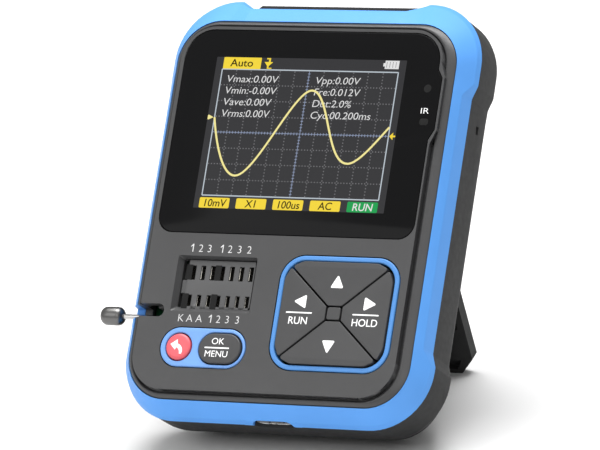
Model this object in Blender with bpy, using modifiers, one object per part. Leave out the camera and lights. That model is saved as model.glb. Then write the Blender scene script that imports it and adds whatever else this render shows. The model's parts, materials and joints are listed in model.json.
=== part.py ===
"""Hand-held oscilloscope and component tester on a folding stand.

The device is modelled upright in its own frame, in metres: X to the right, Y from the front face
towards the back, Z up the face, with the origin at the middle of the front cover.  An empty leans
that frame back until the lower rear edge and the foot of the stand both touch the ground.
"""
import math

import bmesh
import bpy
from mathutils import Matrix, Vector

MM = 0.001
GAP = 0.3                        # clearance between touching pieces, mm

# Front face, mm
COVER_W, COVER_H, COVER_R = 35.85, 45.62, 10.2     # half width, half height, corner radius
COVER_WALL, COVER_DEPTH = 1.8, 7.2
BODY_W, BODY_TOP, BODY_BOTTOM, BODY_R = 39.5, 52.5, -49.5, 14.5
CROWN = 0.9                                         # the casing's upper corners are this much rounder
CORNER_X, CORNER_TOP, CORNER_BOTTOM = 26.0, 36.0, -36.0
EAR_SIDE = ((33.0, 29.8), (-34.0, -31.0))          # heights where each ear steps in to the waist
EAR_TOP = (24.0, 20.2)                             # where the top edge steps down between the ears
PARTING_Y, BACK_Y = 7.5, 28.3

# Screen
LENS = (-33.15, 32.35, -6.1, 43.1)                 # left, right, bottom, top
LENS_BUMP = ((17.8, 20.3), (32.4, 34.35), 33.6)    # lower slant, upper slant, x of the bump
LENS_Y = (0.05, 0.85)
SCREEN_X, SCREEN_Z = -0.34, 18.19                  # centre of the lit area
SCREEN_W, SCREEN_H = 48.96, 36.72
LCD = (-30.9, 29.2, -3.2, 39.5)

# Keys
PAD = (0.6, 30.9, -38.0, -10.8)                    # outer edge of the ring round the four keys
PAD_RIM, PAD_R = 1.2, 6.0
PAD_X, PAD_Z = 15.75, -24.4
HUB_W, HUB_H = 3.3, 2.9
SEAM, SEAM_END = 0.4, (12.3, 11.15)                 # gap between keys, and where it meets the ring
TRIM_X, TRIM_Z, TRIM_W, TRIM_H = -16.4, -33.65, 21.8, 9.3
BACK_KEY = (-22.6, -33.6, 3.4)                     # x, z, radius
OK_KEY = (-11.8, -33.75, 11.2, 7.8)                # x, z, width, height
KEY_FRONT_Y, KEY_LIP_Y, KEY_TRAVEL = -0.7, 4.2, 0.5
SWITCH_TIP_Y = 4.8

# Component socket and its lever
SOCKET_HOLE = (-24.75, -6.3, -24.5, -12.65)
SOCKET_BEVEL = (-26.4, -5.95, -25.1, -11.7)
PIN_X0, PIN_PITCH, PIN_COUNT = -22.2, 2.48, 7
PIN_ROWS = (-15.55, -22.5)
SLOT_W, SLOT_H = 0.7, 3.3
LEVER_X, LEVER_Y, LEVER_Z, LEVER_R = -28.8, 5.0, -25.1, 0.625
NOTCH = (-29.5, -25.05, 1.55)                      # centre of the round end, half width
KNOB = (-46.6, -39.9, 2.15)                        # outer end, inner end, radius

# Circuit board and what stands on it
PCB = (35.2, 45.2, 9.0)
PCB_Y = (9.8, 11.2)
SCREWS = ((-27.0, 42.0), (27.0, 42.0), (-26.0, -42.0), (26.0, -42.0))
USB_X, USB_Y = 1.0, 7.85
JACK_X, JACK_Y = 13.0, 15.0
SWITCH_Y = 13.6
RESET_Y, RESET_Z = 13.0, 24.0

# Stand
STAND_PIVOT = (26.8, 14.6)                         # y, z
STAND_OPEN = math.radians(51.3)                    # angle from the back plane
STAND_W, STAND_FOOT_W = 21.5, 18.0
STAND_LENGTH, STAND_SHOULDER, STAND_T = 53.1, 49.0, 3.0
RECESS = (-21.9, 21.9, -42.0, 16.6)
RECESS_Y = 25.0
HEEL = (28.3, -46.2)                               # lower rear edge that stands on the ground

MODEL = None
TOOLS = None
DEVICE = None


# ---------------------------------------------------------------- scene and materials

def clear_scene():
    for obj in list(bpy.data.objects):
        bpy.data.objects.remove(obj, do_unlink=True)


def new_collection(name):
    collection = bpy.data.collections.new(name)
    bpy.context.scene.collection.children.link(collection)
    return collection


def material(name, colour, roughness, metallic=0.0):
    mat = bpy.data.materials.new(name)
    mat.use_nodes = True
    shader = mat.node_tree.nodes["Principled BSDF"]
    shader.inputs["Base Color"].default_value = (*colour, 1.0)
    shader.inputs["Roughness"].default_value = roughness
    shader.inputs["Metallic"].default_value = metallic
    mat.diffuse_color = (*colour, 1.0)
    return mat


def empty(name, location, parent=None):
    """A guide at a point in mm, used as the joint of what hangs on it."""
    guide = bpy.data.objects.new(name, None)
    MODEL.objects.link(guide)
    guide.parent = parent
    guide.location = Vector(location) * MM
    return guide


def hang(obj, joint=None):
    """Parent an object to the device, or to the joint that it moves with."""
    obj.parent = joint or DEVICE
    if joint:
        obj.location = -joint.location


def finish(obj, mat, joint=None):
    """Give a piece its material, and hang it and its cutters in their place."""
    obj.data.materials.clear()
    obj.data.materials.append(mat)
    hang(obj, joint)
    for modifier in obj.modifiers:
        if modifier.type == "BOOLEAN":
            hang(modifier.object, joint)
    return obj


# ---------------------------------------------------------------- outlines, in mm

def arc(cx, cz, radius, start, stop, steps):
    """Points of an arc, angles in degrees from +X towards +Z."""
    angles = [math.radians(start + (stop - start) * i / steps) for i in range(steps + 1)]
    return [(cx + radius * math.cos(a), cz + radius * math.sin(a)) for a in angles]


def rounded_rect(box, radius, steps=4):
    x0, x1, z0, z1 = box
    r = radius
    return (arc(x1 - r, z1 - r, r, 0, 90, steps) + arc(x0 + r, z1 - r, r, 90, 180, steps)
            + arc(x0 + r, z0 + r, r, 180, 270, steps) + arc(x1 - r, z0 + r, r, 270, 360, steps))


def grown(box, by):
    x0, x1, z0, z1 = box
    return (x0 - by, x1 + by, z0 - by, z1 + by)


def stadium(cx, cz, width, height, steps=8):
    r = height / 2
    dx = width / 2 - r
    return arc(cx + dx, cz, r, -90, 90, steps) + arc(cx - dx, cz, r, 90, 270, steps)


def circle(cx, cz, radius, steps=16):
    return arc(cx, cz, radius, 0, 360 - 360 / steps, steps - 1)


def mirrored(half):
    """Close an outline given as its right half, from the bottom up to the top."""
    return half + [(-x, z) for x, z in reversed(half)]


def ear_outline(width, top, bottom, radius, side_dip=0.0, top_dip=0.0, crown=0.0, ear_top=EAR_TOP, steps=6):
    """Rounded outline with raised ears at its corners; without dips it is a rounded rectangle.

    The two upper corners are rounder than the lower ones by the crown.  Every outline has the same
    number of points, so any two of them can be lofted together.
    """
    cx, upper = width - radius, radius + crown
    (up_ear, up_waist), (low_ear, low_waist) = EAR_SIDE
    ear_x, waist_x = ear_top
    waist = width - side_dip
    half = arc(cx, bottom + radius, radius, -90, 0, steps)
    half += [(width, low_ear), (waist, low_waist), (waist, up_waist), (width, up_ear)]
    half += arc(width - upper, top - upper, upper, 0, 90, steps)
    half += [(ear_x, top), (waist_x, top - top_dip)]
    return mirrored(half)


# ---------------------------------------------------------------- solids

def link_mesh(name, mesh, collection=None):
    obj = bpy.data.objects.new(name, mesh)
    (collection or MODEL).objects.link(obj)
    return obj


def mesh_from(bm, name):
    bmesh.ops.recalc_face_normals(bm, faces=bm.faces)
    mesh = bpy.data.meshes.new(name)
    bm.to_mesh(mesh)
    bm.free()
    return mesh


def soften(obj, angle=35.0):
    obj.data.shade_smooth()
    obj.data.set_sharp_from_angle(angle=math.radians(angle))
    return obj


def plate(name, outlines, y0, y1, collection=None):
    """Flat piece between two depths: the first outline is its edge, the others are holes."""
    curve = bpy.data.curves.new(name + "_outline", "CURVE")
    curve.dimensions = "2D"
    curve.fill_mode = "BOTH"
    curve.extrude = (y1 - y0) / 2 * MM
    for points in outlines:
        spline = curve.splines.new("POLY")
        spline.points.add(len(points) - 1)
        for point, (x, z) in zip(spline.points, points):
            point.co = (x * MM, z * MM, 0.0, 1.0)
        spline.use_cyclic_u = True
    turn = Matrix.Translation((0, (y0 + y1) / 2 * MM, 0)) @ Matrix.Rotation(math.pi / 2, 4, "X")
    return curve_to_mesh(name, curve, turn, collection)


def curve_to_mesh(name, curve, placing, collection=None):
    """Turn a curve into one welded mesh object."""
    guide = bpy.data.objects.new(name + "_curve", curve)
    bpy.context.scene.collection.objects.link(guide)
    guide.matrix_world = placing
    bpy.context.view_layer.update()
    seen = guide.evaluated_get(bpy.context.evaluated_depsgraph_get())
    mesh = bpy.data.meshes.new_from_object(seen)
    mesh.transform(guide.matrix_world)
    bpy.data.objects.remove(guide, do_unlink=True)
    bm = bmesh.new()
    bm.from_mesh(mesh)
    bmesh.ops.remove_doubles(bm, verts=bm.verts, dist=0.00002)
    bpy.data.meshes.remove(mesh)
    return soften(link_mesh(name, mesh_from(bm, name), collection))


def loft(name, sections, collection=None):
    """Solid skinned through outlines of equal length, each given with its depth."""
    bm = bmesh.new()
    rings = [[bm.verts.new((x * MM, y * MM, z * MM)) for x, z in points] for y, points in sections]
    for near, far in zip(rings, rings[1:]):
        for i in range(len(near)):
            j = (i + 1) % len(near)
            bm.faces.new((near[i], near[j], far[j], far[i]))
    bm.faces.new(rings[0])
    bm.faces.new(rings[-1])
    return soften(link_mesh(name, mesh_from(bm, name), collection))


def box(name, x, y, z, collection=None, bevel=0.0):
    """Block between pairs of limits, in mm."""
    bm = bmesh.new()
    bmesh.ops.create_cube(bm, size=1.0)
    size = Vector((x[1] - x[0], y[1] - y[0], z[1] - z[0])) * MM
    middle = Vector((x[0] + x[1], y[0] + y[1], z[0] + z[1])) * MM / 2
    bmesh.ops.scale(bm, verts=bm.verts, vec=size)
    bmesh.ops.translate(bm, verts=bm.verts, vec=middle)
    obj = link_mesh(name, mesh_from(bm, name), collection)
    if bevel:
        add_bevel(obj, bevel)
    return obj


def rod(name, axis, middle, radius, length, steps=16, collection=None):
    """Round bar along X, Y or Z about its middle, in mm."""
    bm = bmesh.new()
    bmesh.ops.create_cone(bm, cap_ends=True, segments=steps, radius1=radius * MM,
                          radius2=radius * MM, depth=length * MM)
    turns = {"X": Matrix.Rotation(math.pi / 2, 4, "Y"), "Y": Matrix.Rotation(math.pi / 2, 4, "X"),
             "Z": Matrix.Identity(4)}
    bmesh.ops.transform(bm, matrix=Matrix.Translation(Vector(middle) * MM) @ turns[axis],
                        verts=bm.verts)
    return soften(link_mesh(name, mesh_from(bm, name), collection))


def tube(name, points, radius, resolution=2):
    """Round wire or bent rod through points in mm."""
    curve = bpy.data.curves.new(name + "_path", "CURVE")
    curve.dimensions = "3D"
    curve.bevel_depth = radius * MM
    curve.bevel_resolution = resolution
    curve.use_fill_caps = True
    spline = curve.splines.new("POLY")
    spline.points.add(len(points) - 1)
    for point, co in zip(spline.points, points):
        point.co = (co[0] * MM, co[1] * MM, co[2] * MM, 1.0)
    return curve_to_mesh(name, curve, Matrix.Identity(4))


def add_bevel(obj, width, segments=2):
    modifier = obj.modifiers.new("rounded edges", "BEVEL")
    modifier.width = width * MM
    modifier.segments = segments
    modifier.limit_method = "ANGLE"
    modifier.angle_limit = math.radians(40)
    return obj


def boolean(obj, operation, *tools):
    for tool in tools:
        tool.hide_render = True
        tool.display_type = "WIRE"
        modifier = obj.modifiers.new(operation.lower() + " " + tool.name, "BOOLEAN")
        modifier.operation = operation
        modifier.object = tool
        modifier.solver = "EXACT"
    return obj


def cut(obj, *tools):
    return boolean(obj, "DIFFERENCE", *tools)


def join(obj, *tools):
    return boolean(obj, "UNION", *tools)


# ---------------------------------------------------------------- casing

def lens_outline(grow=0.0):
    x0, x1, z0, z1 = grown(LENS, grow)
    (low, low_out), (high_out, high), bump_x = LENS_BUMP
    corner_low, corner_top = 4.0, 7.0
    points = arc(x1 - corner_low, z0 + corner_low, corner_low, -90, 0, 4)
    points += [(x1, low - grow), (bump_x + grow, low_out - grow)]
    points += [(bump_x + grow, high_out + grow), (x1, high + grow)]
    points += arc(x1 - corner_top, z1 - corner_top, corner_top, 0, 90, 5)
    points += arc(x0 + corner_top, z1 - corner_top, corner_top, 90, 180, 5)
    points += arc(x0 + corner_low, z0 + corner_low, corner_low, 180, 270, 4)
    return points


def cover_outline(inset):
    return ear_outline(COVER_W - inset, COVER_H - inset, -COVER_H + inset, COVER_R - inset)


def lever_notch():
    """Slot that the lever swings through, open at the left edge."""
    x, z, half = NOTCH
    outline = arc(x, z, half, -90, 90, 6) + [(-45.0, z + half), (-45.0, z - half)]
    return plate("lever_notch", [outline], -2.0, LEVER_Y + LEVER_R + 0.5, TOOLS)


def usb_opening():
    outline = stadium(USB_X, 0.0, 10.6, 4.0, 6)
    tool = plate("usb_opening", [outline], -55.0, -43.0, TOOLS)
    tool.data.transform(Matrix.Translation((0, USB_Y * MM, 0)) @ Matrix.Rotation(math.pi / 2, 4, "X"))
    return tool


def front_cover(mat, notch, usb):
    rim = [(0.0, 2.6), (0.55, 2.1), (0.8, 1.6), (0.4, 1.1), (0.5, 0.5), (1.2, 0.0), (COVER_DEPTH, 0.0)]
    cover = loft("front_cover", [(y, cover_outline(inset)) for y, inset in rim])
    inside = loft("cover_inside", [(1.8, cover_outline(COVER_WALL)), (9.0, cover_outline(COVER_WALL))],
                  TOOLS)
    posts = [rod("cover_post", "Y", (x, 5.5, z), 2.1, 8.0, 12, TOOLS) for x, z in SCREWS]
    holes = [rod("cover_post_hole", "Y", (x, 6.9, z), 1.3, 7.0, 10, TOOLS) for x, z in SCREWS]
    cut(cover, inside)
    join(cover, *posts)
    cut(cover, *holes, notch, usb)
    cut(cover, plate("lens_pocket", [lens_outline(GAP)], -1.0, LENS_Y[1] + GAP, TOOLS))
    width, height = SCREEN_W / 2 + 0.8, SCREEN_H / 2 + 0.8
    window = (SCREEN_X - width, SCREEN_X + width, SCREEN_Z - height, SCREEN_Z + height)
    cut(cover, plate("screen_window", [rounded_rect(window, 1.0, 2)], 0.5, 3.0, TOOLS))
    cut(cover, socket_opening(),
        plate("pad_opening", [rounded_rect(grown(PAD, GAP), PAD_R + GAP)], -2.0, 3.0, TOOLS),
        plate("trim_opening", [stadium(TRIM_X, TRIM_Z, TRIM_W + 0.6, TRIM_H + 0.6)], -2, 3, TOOLS))
    cut(cover, rod("led_hole", "Y", (30.4, 1.5, 29.9), 0.9, 3.0, 12, TOOLS),
        plate("ir_hole", [rounded_rect((29.6, 31.8, 21.1, 22.7), 0.6, 3)], 0.5, 3.0, TOOLS))
    return finish(cover, mat)


def socket_opening():
    outer, inner = rounded_rect(SOCKET_BEVEL, 0.6, 2), rounded_rect(SOCKET_HOLE, 0.5, 2)
    return loft("socket_opening", [(-0.6, outer), (0.0, outer), (1.2, inner), (3.0, inner)], TOOLS)


def bumper_frame(mat, notch, usb):
    levels = [(1.3, 36.45, 46.2, -46.2, 10.8), (4.2, 38.5, 50.4, -47.9, 13.0, 1.2, 1.2, 0.5),
              (6.3, 39.4, 52.3, -49.2, 14.3, 1.2, 2.2, CROWN),
              (PARTING_Y, BODY_W, BODY_TOP, BODY_BOTTOM, BODY_R, 1.1, 2.3, CROWN)]
    frame = loft("bumper_frame", [(level[0], ear_outline(*level[1:])) for level in levels])
    tongue = box("bumper_tongue", (-6.7, 8.0), (7.2, 8.3), (-49.4, -47.6), TOOLS)
    opening = loft("bumper_opening", [(0.5, cover_outline(-GAP)), (9.0, cover_outline(-GAP))], TOOLS)
    join(frame, tongue)
    cut(frame, opening, notch, usb)
    return finish(frame, mat)


def rear_outline(inset, back=False):
    """Outline of the rear shell at its straight wall, or at the narrower back face."""
    if back:
        return ear_outline(32.8 - inset, 48.6 - inset, HEEL[1] + inset, 11.0 - inset, ear_top=(20.5, 18.0))
    return ear_outline(BODY_W - 0.2 - inset, BODY_TOP - 0.2 - inset, BODY_BOTTOM + 0.2 + inset,
                       BODY_R - 0.2 - inset, 1.1, 2.3, CROWN)


def rear_cover(mat, usb):
    wall_y, shoulder_y = PARTING_Y + GAP, 17.0
    shell = loft("rear_cover", [(wall_y, rear_outline(0.0)), (shoulder_y, rear_outline(0.0)),
                                (BACK_Y - 0.8, rear_outline(-0.4, True)), (BACK_Y, rear_outline(0.4, True))])
    block = loft("connector_block", [(10.0, block_outline(0.0)), (22.0, block_outline(0.0)),
                                     (25.5, block_outline(2.6))], TOOLS)
    inside = loft("rear_inside", [(wall_y - 1.0, rear_outline(2.0)), (shoulder_y, rear_outline(2.0)),
                                  (BACK_Y - 2.0, rear_outline(2.0, True))], TOOLS)
    well = box("stand_well", (RECESS[0] - 2.2, RECESS[1] + 2.2), (RECESS_Y - 1.8, BACK_Y - 0.4),
               (RECESS[2] - 1.8, RECESS[3] + 1.8), TOOLS)
    recess = plate("stand_recess", [rounded_rect(RECESS, 1.5, 2)], RECESS_Y, BACK_Y + 2.0, TOOLS)
    posts = [rod("rear_post", "Y", (x, 19.3, z), 3.0, 15.6, 14, TOOLS) for x, z in SCREWS]
    holes = [rod("rear_post_hole", "Y", (x, 15.0, z), 1.3, 12.0, 10, TOOLS) for x, z in SCREWS]
    wells = [rod("screw_well", "Y", (x, 25.0, z), 2.2, 12.0, 14, TOOLS) for x, z in SCREWS]
    pivot_y, pivot_z = STAND_PIVOT
    bore = rod("stand_bore", "X", (0, pivot_y, pivot_z), 1.1, 2 * (STAND_W + 1.8), 12, TOOLS)
    join(shell, block)
    cut(shell, inside)
    join(shell, well, *posts)
    cut(shell, recess, bore, *holes, *wells, usb, *top_openings())
    cut(shell, box("tongue_relief", (-7.0, 8.3), (7.0, 8.6), (-50.0, -46.0), TOOLS))
    return finish(shell, mat)


def block_outline(drop):
    """Raised block between the ears, with sloped flanks."""
    top, foot = BODY_TOP - 0.1 - drop, 48.0
    return mirrored([(22.9, foot), (22.9, 50.1 - drop), (20.5, top)])


def top_openings():
    jacks = [rod("jack_hole", "Z", (x, JACK_Y, 50.0), 3.4, 8.0, 16, TOOLS) for x in (-JACK_X, JACK_X)]
    slot = box("switch_slot", (-3.2, 3.2), (SWITCH_Y - 1.4, SWITCH_Y + 1.4), (47.0, 54.0), TOOLS)
    reset = box("reset_hole", (35.0, 40.0), (RESET_Y - 0.65, RESET_Y + 0.65),
                (RESET_Z - 0.95, RESET_Z + 0.95), TOOLS)
    return [*jacks, slot, reset]


def screws(mat):
    """Case screws: each head sits in a deep well of the rear cover."""
    for number, (x, z) in enumerate(SCREWS, 1):
        screw = rod(f"case_screw_{number}", "Y", (x, 12.0, z), 0.95, 15.0, 10)
        head = rod("screw_head", "Y", (x, 20.1, z), 1.85, 1.6, 14, TOOLS)
        finish(join(screw, head), mat)


# ---------------------------------------------------------------- screen

def screen(mats):
    finish(plate("screen_lens", [lens_outline()], *LENS_Y), mats["lens"])
    finish(box("lcd_panel", LCD[:2], (2.1, 3.4), LCD[2:]), mats["lcd"])
    finish(box("lcd_backlight", LCD[:2], (3.7, 4.9), LCD[2:]), mats["white"])
    finish(lcd_flex(), mats["flex"])


def lcd_flex():
    """Ribbon from the back of the screen down to the board."""
    bend = [(5.35, 6.0), (5.35, -2.0)] + [(7.3 - 1.95 * math.cos(a), -2.0 - 4.0 * math.sin(a))
                                          for a in (0.5, 1.0, math.pi / 2)]
    bend += [(9.25, -7.5), (9.25, -10.0)]
    back = [(y + 0.2, z + 0.15) for y, z in reversed(bend)]
    bm = bmesh.new()
    side = [bm.verts.new((4.0 * MM, y * MM, z * MM)) for y, z in bend + back]
    face = bm.faces.new(side)
    moved = bmesh.ops.extrude_face_region(bm, geom=[face])["geom"]
    verts = [v for v in moved if isinstance(v, bmesh.types.BMVert)]
    bmesh.ops.translate(bm, verts=verts, vec=(20.0 * MM, 0, 0))
    return link_mesh("lcd_flex", mesh_from(bm, "lcd_flex"))


# ---------------------------------------------------------------- keys

def pressed_joint(name, x, z):
    return empty(name + "_joint", (x, KEY_FRONT_Y, z), DEVICE)


def pad_ring(mat):
    inner = grown(PAD, -PAD_RIM)
    ring = plate("dpad_ring", [rounded_rect(PAD, PAD_R), rounded_rect(inner, PAD_R - PAD_RIM)],
                 -0.2, 2.6)
    flange = plate("pad_flange", [rounded_rect(grown(PAD, 1.5), PAD_R + 1.5),
                                  rounded_rect(inner, PAD_R - PAD_RIM)], 2.1, 3.2, TOOLS)
    return finish(join(ring, flange), mat)


def wedge(angle, name):
    """Sector of the pad that one key fills, up to seams that run out from the hub's corners."""
    slope = (SEAM_END[1] - HUB_H / 2) / (SEAM_END[0] - HUB_W / 2)
    if angle in (90, 270):
        along, across, grow = HUB_H, HUB_W, 1.0 / slope
    else:
        along, across, grow = HUB_W, HUB_H, slope
    near, far = along / 2 + GAP + 0.05, 24.0
    shift = SEAM / 2 * math.hypot(1.0, grow)
    side, reach = [across / 2 + (d - along / 2) * grow - shift for d in (near, far)]
    points = [(near, -side), (far, -reach), (far, reach), (near, side)]
    c, s = math.cos(math.radians(angle)), math.sin(math.radians(angle))
    turned = [(PAD_X + c * u - s * v, PAD_Z + s * u + c * v) for u, v in points]
    return plate(name, [turned], -3.0, 6.0, TOOLS)


def pad_keys(mat):
    inner = grown(PAD, -PAD_RIM - GAP)
    radius = PAD_R - PAD_RIM - GAP
    for name, angle in (("up", 90), ("left", 180), ("down", 270), ("right", 0)):
        levels = [(KEY_FRONT_Y, -0.5), (KEY_FRONT_Y + 0.4, 0.0), (3.5, 0.0), (3.5, 1.3), (KEY_LIP_Y, 1.3)]
        key = loft("key_" + name, [(y, rounded_rect(grown(inner, g), radius + g)) for y, g in levels])
        boolean(key, "INTERSECT", wedge(angle, "wedge_" + name))
        c, s = math.cos(math.radians(angle)), math.sin(math.radians(angle))
        finish(key, mat, pressed_joint("key_" + name, PAD_X + 8.8 * c, PAD_Z + 8.3 * s))


def pad_hub(mat):
    hub = box("dpad_hub", (PAD_X - HUB_W / 2, PAD_X + HUB_W / 2), (-0.4, PCB_Y[0] - GAP),
              (PAD_Z - HUB_H / 2, PAD_Z + HUB_H / 2), bevel=0.35)
    return finish(hub, mat)


def button_trim(mat):
    holes = [circle(BACK_KEY[0], BACK_KEY[1], BACK_KEY[2] + GAP, 24),
             stadium(OK_KEY[0], OK_KEY[1], OK_KEY[2] + 0.6, OK_KEY[3] + 0.6)]
    trim = plate("button_trim", [stadium(TRIM_X, TRIM_Z, TRIM_W, TRIM_H)] + holes, -0.2, 2.6)
    flange = plate("trim_flange", [stadium(TRIM_X, TRIM_Z, TRIM_W + 2.4, TRIM_H + 2.4)] + holes,
                   2.1, 3.2, TOOLS)
    return finish(join(trim, flange), mat)


def round_key(name, outline, lip, mat, x, z):
    """Button whose lip behind the trim keeps it in."""
    top = [(KEY_FRONT_Y, outline(-0.4)), (KEY_FRONT_Y + 0.4, outline(0.0)), (3.5, outline(0.0)),
           (3.5, outline(lip)), (KEY_LIP_Y, outline(lip))]
    return finish(loft(name, top), mat, pressed_joint(name, x, z))


def buttons(mats):
    x, z, r = BACK_KEY
    round_key("back_button", lambda g: circle(x, z, r + g, 24), 0.9, mats["red"], x, z)
    ox, oz, w, h = OK_KEY
    round_key("ok_button", lambda g: stadium(ox, oz, w + 2 * g, h + 2 * g), 0.9, mats["key"], ox, oz)
    pad_switches = [(PAD_X + dx, PAD_Z + dz) for dx, dz in ((0, 8.3), (-8.8, 0), (0, -8.3), (8.8, 0))]
    places = dict(zip(("up", "left", "down", "right"), pad_switches))
    places.update(back=(x, z), ok=(ox, oz))
    for name, place in places.items():
        tact_switch("switch_" + name, *place, mats["switch"])


def tact_switch(name, x, z, mat):
    body = box(name, (x - 3, x + 3), (6.2, PCB_Y[0] - GAP), (z - 3, z + 3))
    tip = rod("switch_tip", "Y", (x, (SWITCH_TIP_Y + 7) / 2, z), 1.7, 7 - SWITCH_TIP_Y, 12, TOOLS)
    return finish(join(body, tip), mat)


# ---------------------------------------------------------------- component socket

def socket(mats):
    x0, x1, z0, z1 = grown(SOCKET_HOLE, -GAP)
    base = box("zif_base", (x0, x1 + 0.7), (2.9, PCB_Y[0] - GAP), (z0 - 1.0, z1 + 0.9))
    hinge_block = box("hinge_block", (-31.0, x0 + 1), (2.9, PCB_Y[0] - GAP), (z0 + 0.3, z1), TOOLS)
    bore = rod("hinge_bore", "Z", (LEVER_X, LEVER_Y, z0 + 4.5), LEVER_R + GAP, 10.5, 12, TOOLS)
    rows = [box("contact_row", (PIN_X0 - 1.2, x1), (2, 9.0), (z - SLOT_H / 2, z + SLOT_H / 2), TOOLS)
            for z in PIN_ROWS]
    join(base, hinge_block)
    finish(cut(base, bore, *rows), mats["socket"])
    for name, z in zip(("upper", "lower"), PIN_ROWS):
        finish(contact_comb("zif_contacts_" + name, z), mats["contact"])
    slots = [rounded_rect((x - SLOT_W / 2, x + SLOT_W / 2, z - SLOT_H / 2, z + SLOT_H / 2), 0.1, 1)
             for z in PIN_ROWS for x in pin_columns()]
    slider = plate("zif_slider", [rounded_rect((x0 + 1.0, x1, z0 + 0.1, z1 - 0.1), 0.4, 2)] + slots, 0.9, 2.6)
    slider_joint = empty("zif_slider_joint", (PIN_X0, 0.9, PIN_ROWS[0]), DEVICE)
    finish(slider, mats["socket"], slider_joint)


def pin_columns():
    return [PIN_X0 + PIN_PITCH * i for i in range(PIN_COUNT)]


def contact_comb(name, z):
    """Row of spring leaves on one strip."""
    x0, x1 = PIN_X0 - 0.8, PIN_X0 + PIN_PITCH * (PIN_COUNT - 1) + 0.4
    comb = box(name, (x0, x1), (8.1, 8.7), (z - 1.3, z + 1.3))
    leaves = [box("leaf", (x - 0.2, x + 0.2), (3.1, 8.4), (z - 1.3, z + 1.3), TOOLS)
              for x in pin_columns()]
    return join(comb, *leaves)


def lever(mats):
    joint = empty("zif_lever_joint", (LEVER_X, LEVER_Y, LEVER_Z), DEVICE)
    r = 1.2
    bend = [(LEVER_X - r + r * math.cos(a), LEVER_Y, LEVER_Z + r - r * math.sin(a))
            for a in (0.0, math.pi / 8, math.pi / 4, 3 * math.pi / 8, math.pi / 2)]
    path = [(LEVER_X, LEVER_Y, LEVER_Z + 9.5)] + bend + [(KNOB[1] - 2.0, LEVER_Y, LEVER_Z)]
    finish(tube("zif_lever", path, LEVER_R, 3), mats["rod"], joint)
    outer, inner, radius = KNOB
    knob = rod("lever_knob", "X", ((outer + inner) / 2, LEVER_Y, LEVER_Z), radius, inner - outer, 20)
    add_bevel(knob, 0.8, 3)
    seat = rod("knob_seat", "X", (inner - 0.6, LEVER_Y, LEVER_Z), LEVER_R + 0.2, 3.6, 12, TOOLS)
    finish(cut(knob, seat), mats["knob"], joint)


# ---------------------------------------------------------------- board

def board(mats):
    w, h, r = PCB
    holes = [circle(x, z, 1.25, 12) for x, z in SCREWS]
    finish(plate("main_pcb", [rounded_rect((-w, w, -h, h), r, 4)] + holes, *PCB_Y), mats["pcb"])
    y0 = PCB_Y[1] + GAP
    chip = mats["chip"]
    finish(box("mcu_chip", (-20, -8), (y0, y0 + 1.3), (22, 34), bevel=0.2), chip)
    finish(box("adc_chip", (-3, 4), (y0, y0 + 1.1), (20, 27), bevel=0.2), chip)
    finish(box("shield_can", (7, 25), (y0, y0 + 2.6), (23, 36), bevel=0.3), mats["steel"])
    finish(box("boost_inductor", (-30, -24), (y0, y0 + 3.0), (14, 20), bevel=0.5), chip)
    finish(rod("buzzer", "Y", (29, y0 + 1.6, 16.8), 4.2, 3.2, 20), chip)
    crystal = plate("crystal", [stadium(-1.0, 33.0, 10.6, 4.6, 5)], y0, y0 + 3.2)
    finish(crystal, mats["steel"])
    front = PCB_Y[0] - GAP
    finish(box("ir_receiver", (29.6, 33.2), (3.0, front), (20.0, 24.2), bevel=0.4), mats["lens"])
    finish(box("status_led", (29.6, 31.2), (8.4, front), (29.1, 30.7)), mats["white"])


def usb_port(mats):
    """Receptacle whose mouth points down through the lower edge."""
    def turned(obj):
        obj.data.transform(Matrix.Translation((0, USB_Y * MM, 0)) @ Matrix.Rotation(math.pi / 2, 4, "X"))
        return obj
    shell = turned(plate("usb_shell", [stadium(USB_X, 0, 8.94, 3.2, 6), stadium(USB_X, 0, 8.3, 2.6, 6)],
                         -49.0, -42.3))
    wall = turned(plate("usb_back", [stadium(USB_X, 0, 8.94, 3.2, 6)], -42.8, -41.7, TOOLS))
    finish(join(shell, wall), mats["steel"])
    finish(box("usb_tongue", (USB_X - 3.3, USB_X + 3.3), (USB_Y - 0.35, USB_Y + 0.35), (-48.3, -43.3)),
           mats["chip"])


def coax_jacks(mats):
    for name, x in (("in", -JACK_X), ("out", JACK_X)):
        y0 = PCB_Y[1] + GAP
        jack = box("coax_jack_" + name, (x - 3.5, x + 3.5), (y0, y0 + 7.0), (37.5, 44.5))
        barrel = rod("jack_barrel", "Z", (x, JACK_Y, 47.5), 2.9, 8.2, 20, TOOLS)
        bore = rod("jack_bore", "Z", (x, JACK_Y, 49.0), 1.9, 10.0, 16, TOOLS)
        finish(cut(join(jack, barrel), bore), mats["brass"])
        finish(rod("coax_pin_" + name, "Z", (x, JACK_Y, 47.4), 0.45, 6.0, 10), mats["contact"])


def slide_switch(mats):
    y0 = PCB_Y[1] + GAP
    finish(box("power_switch", (-4.5, 4.5), (y0, y0 + 4.2), (40.0, 45.2)), mats["steel"])
    joint = empty("power_knob_joint", (-1.0, SWITCH_Y, 45.5), DEVICE)
    knob = box("power_knob", (-2.2, 0.2), (SWITCH_Y - 0.9, SWITCH_Y + 0.9), (45.5, 52.2), bevel=0.2)
    finish(knob, mats["key"], joint)
    finish(box("reset_switch", (31.0, 35.0), (y0, y0 + 3.0), (22.0, 26.0)), mats["switch"])
    reset = box("reset_button", (35.4, 37.8), (RESET_Y - 0.35, RESET_Y + 0.35),
                (RESET_Z - 0.65, RESET_Z + 0.65))
    finish(reset, mats["key"], empty("reset_button_joint", (37.8, RESET_Y, RESET_Z), DEVICE))


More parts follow.
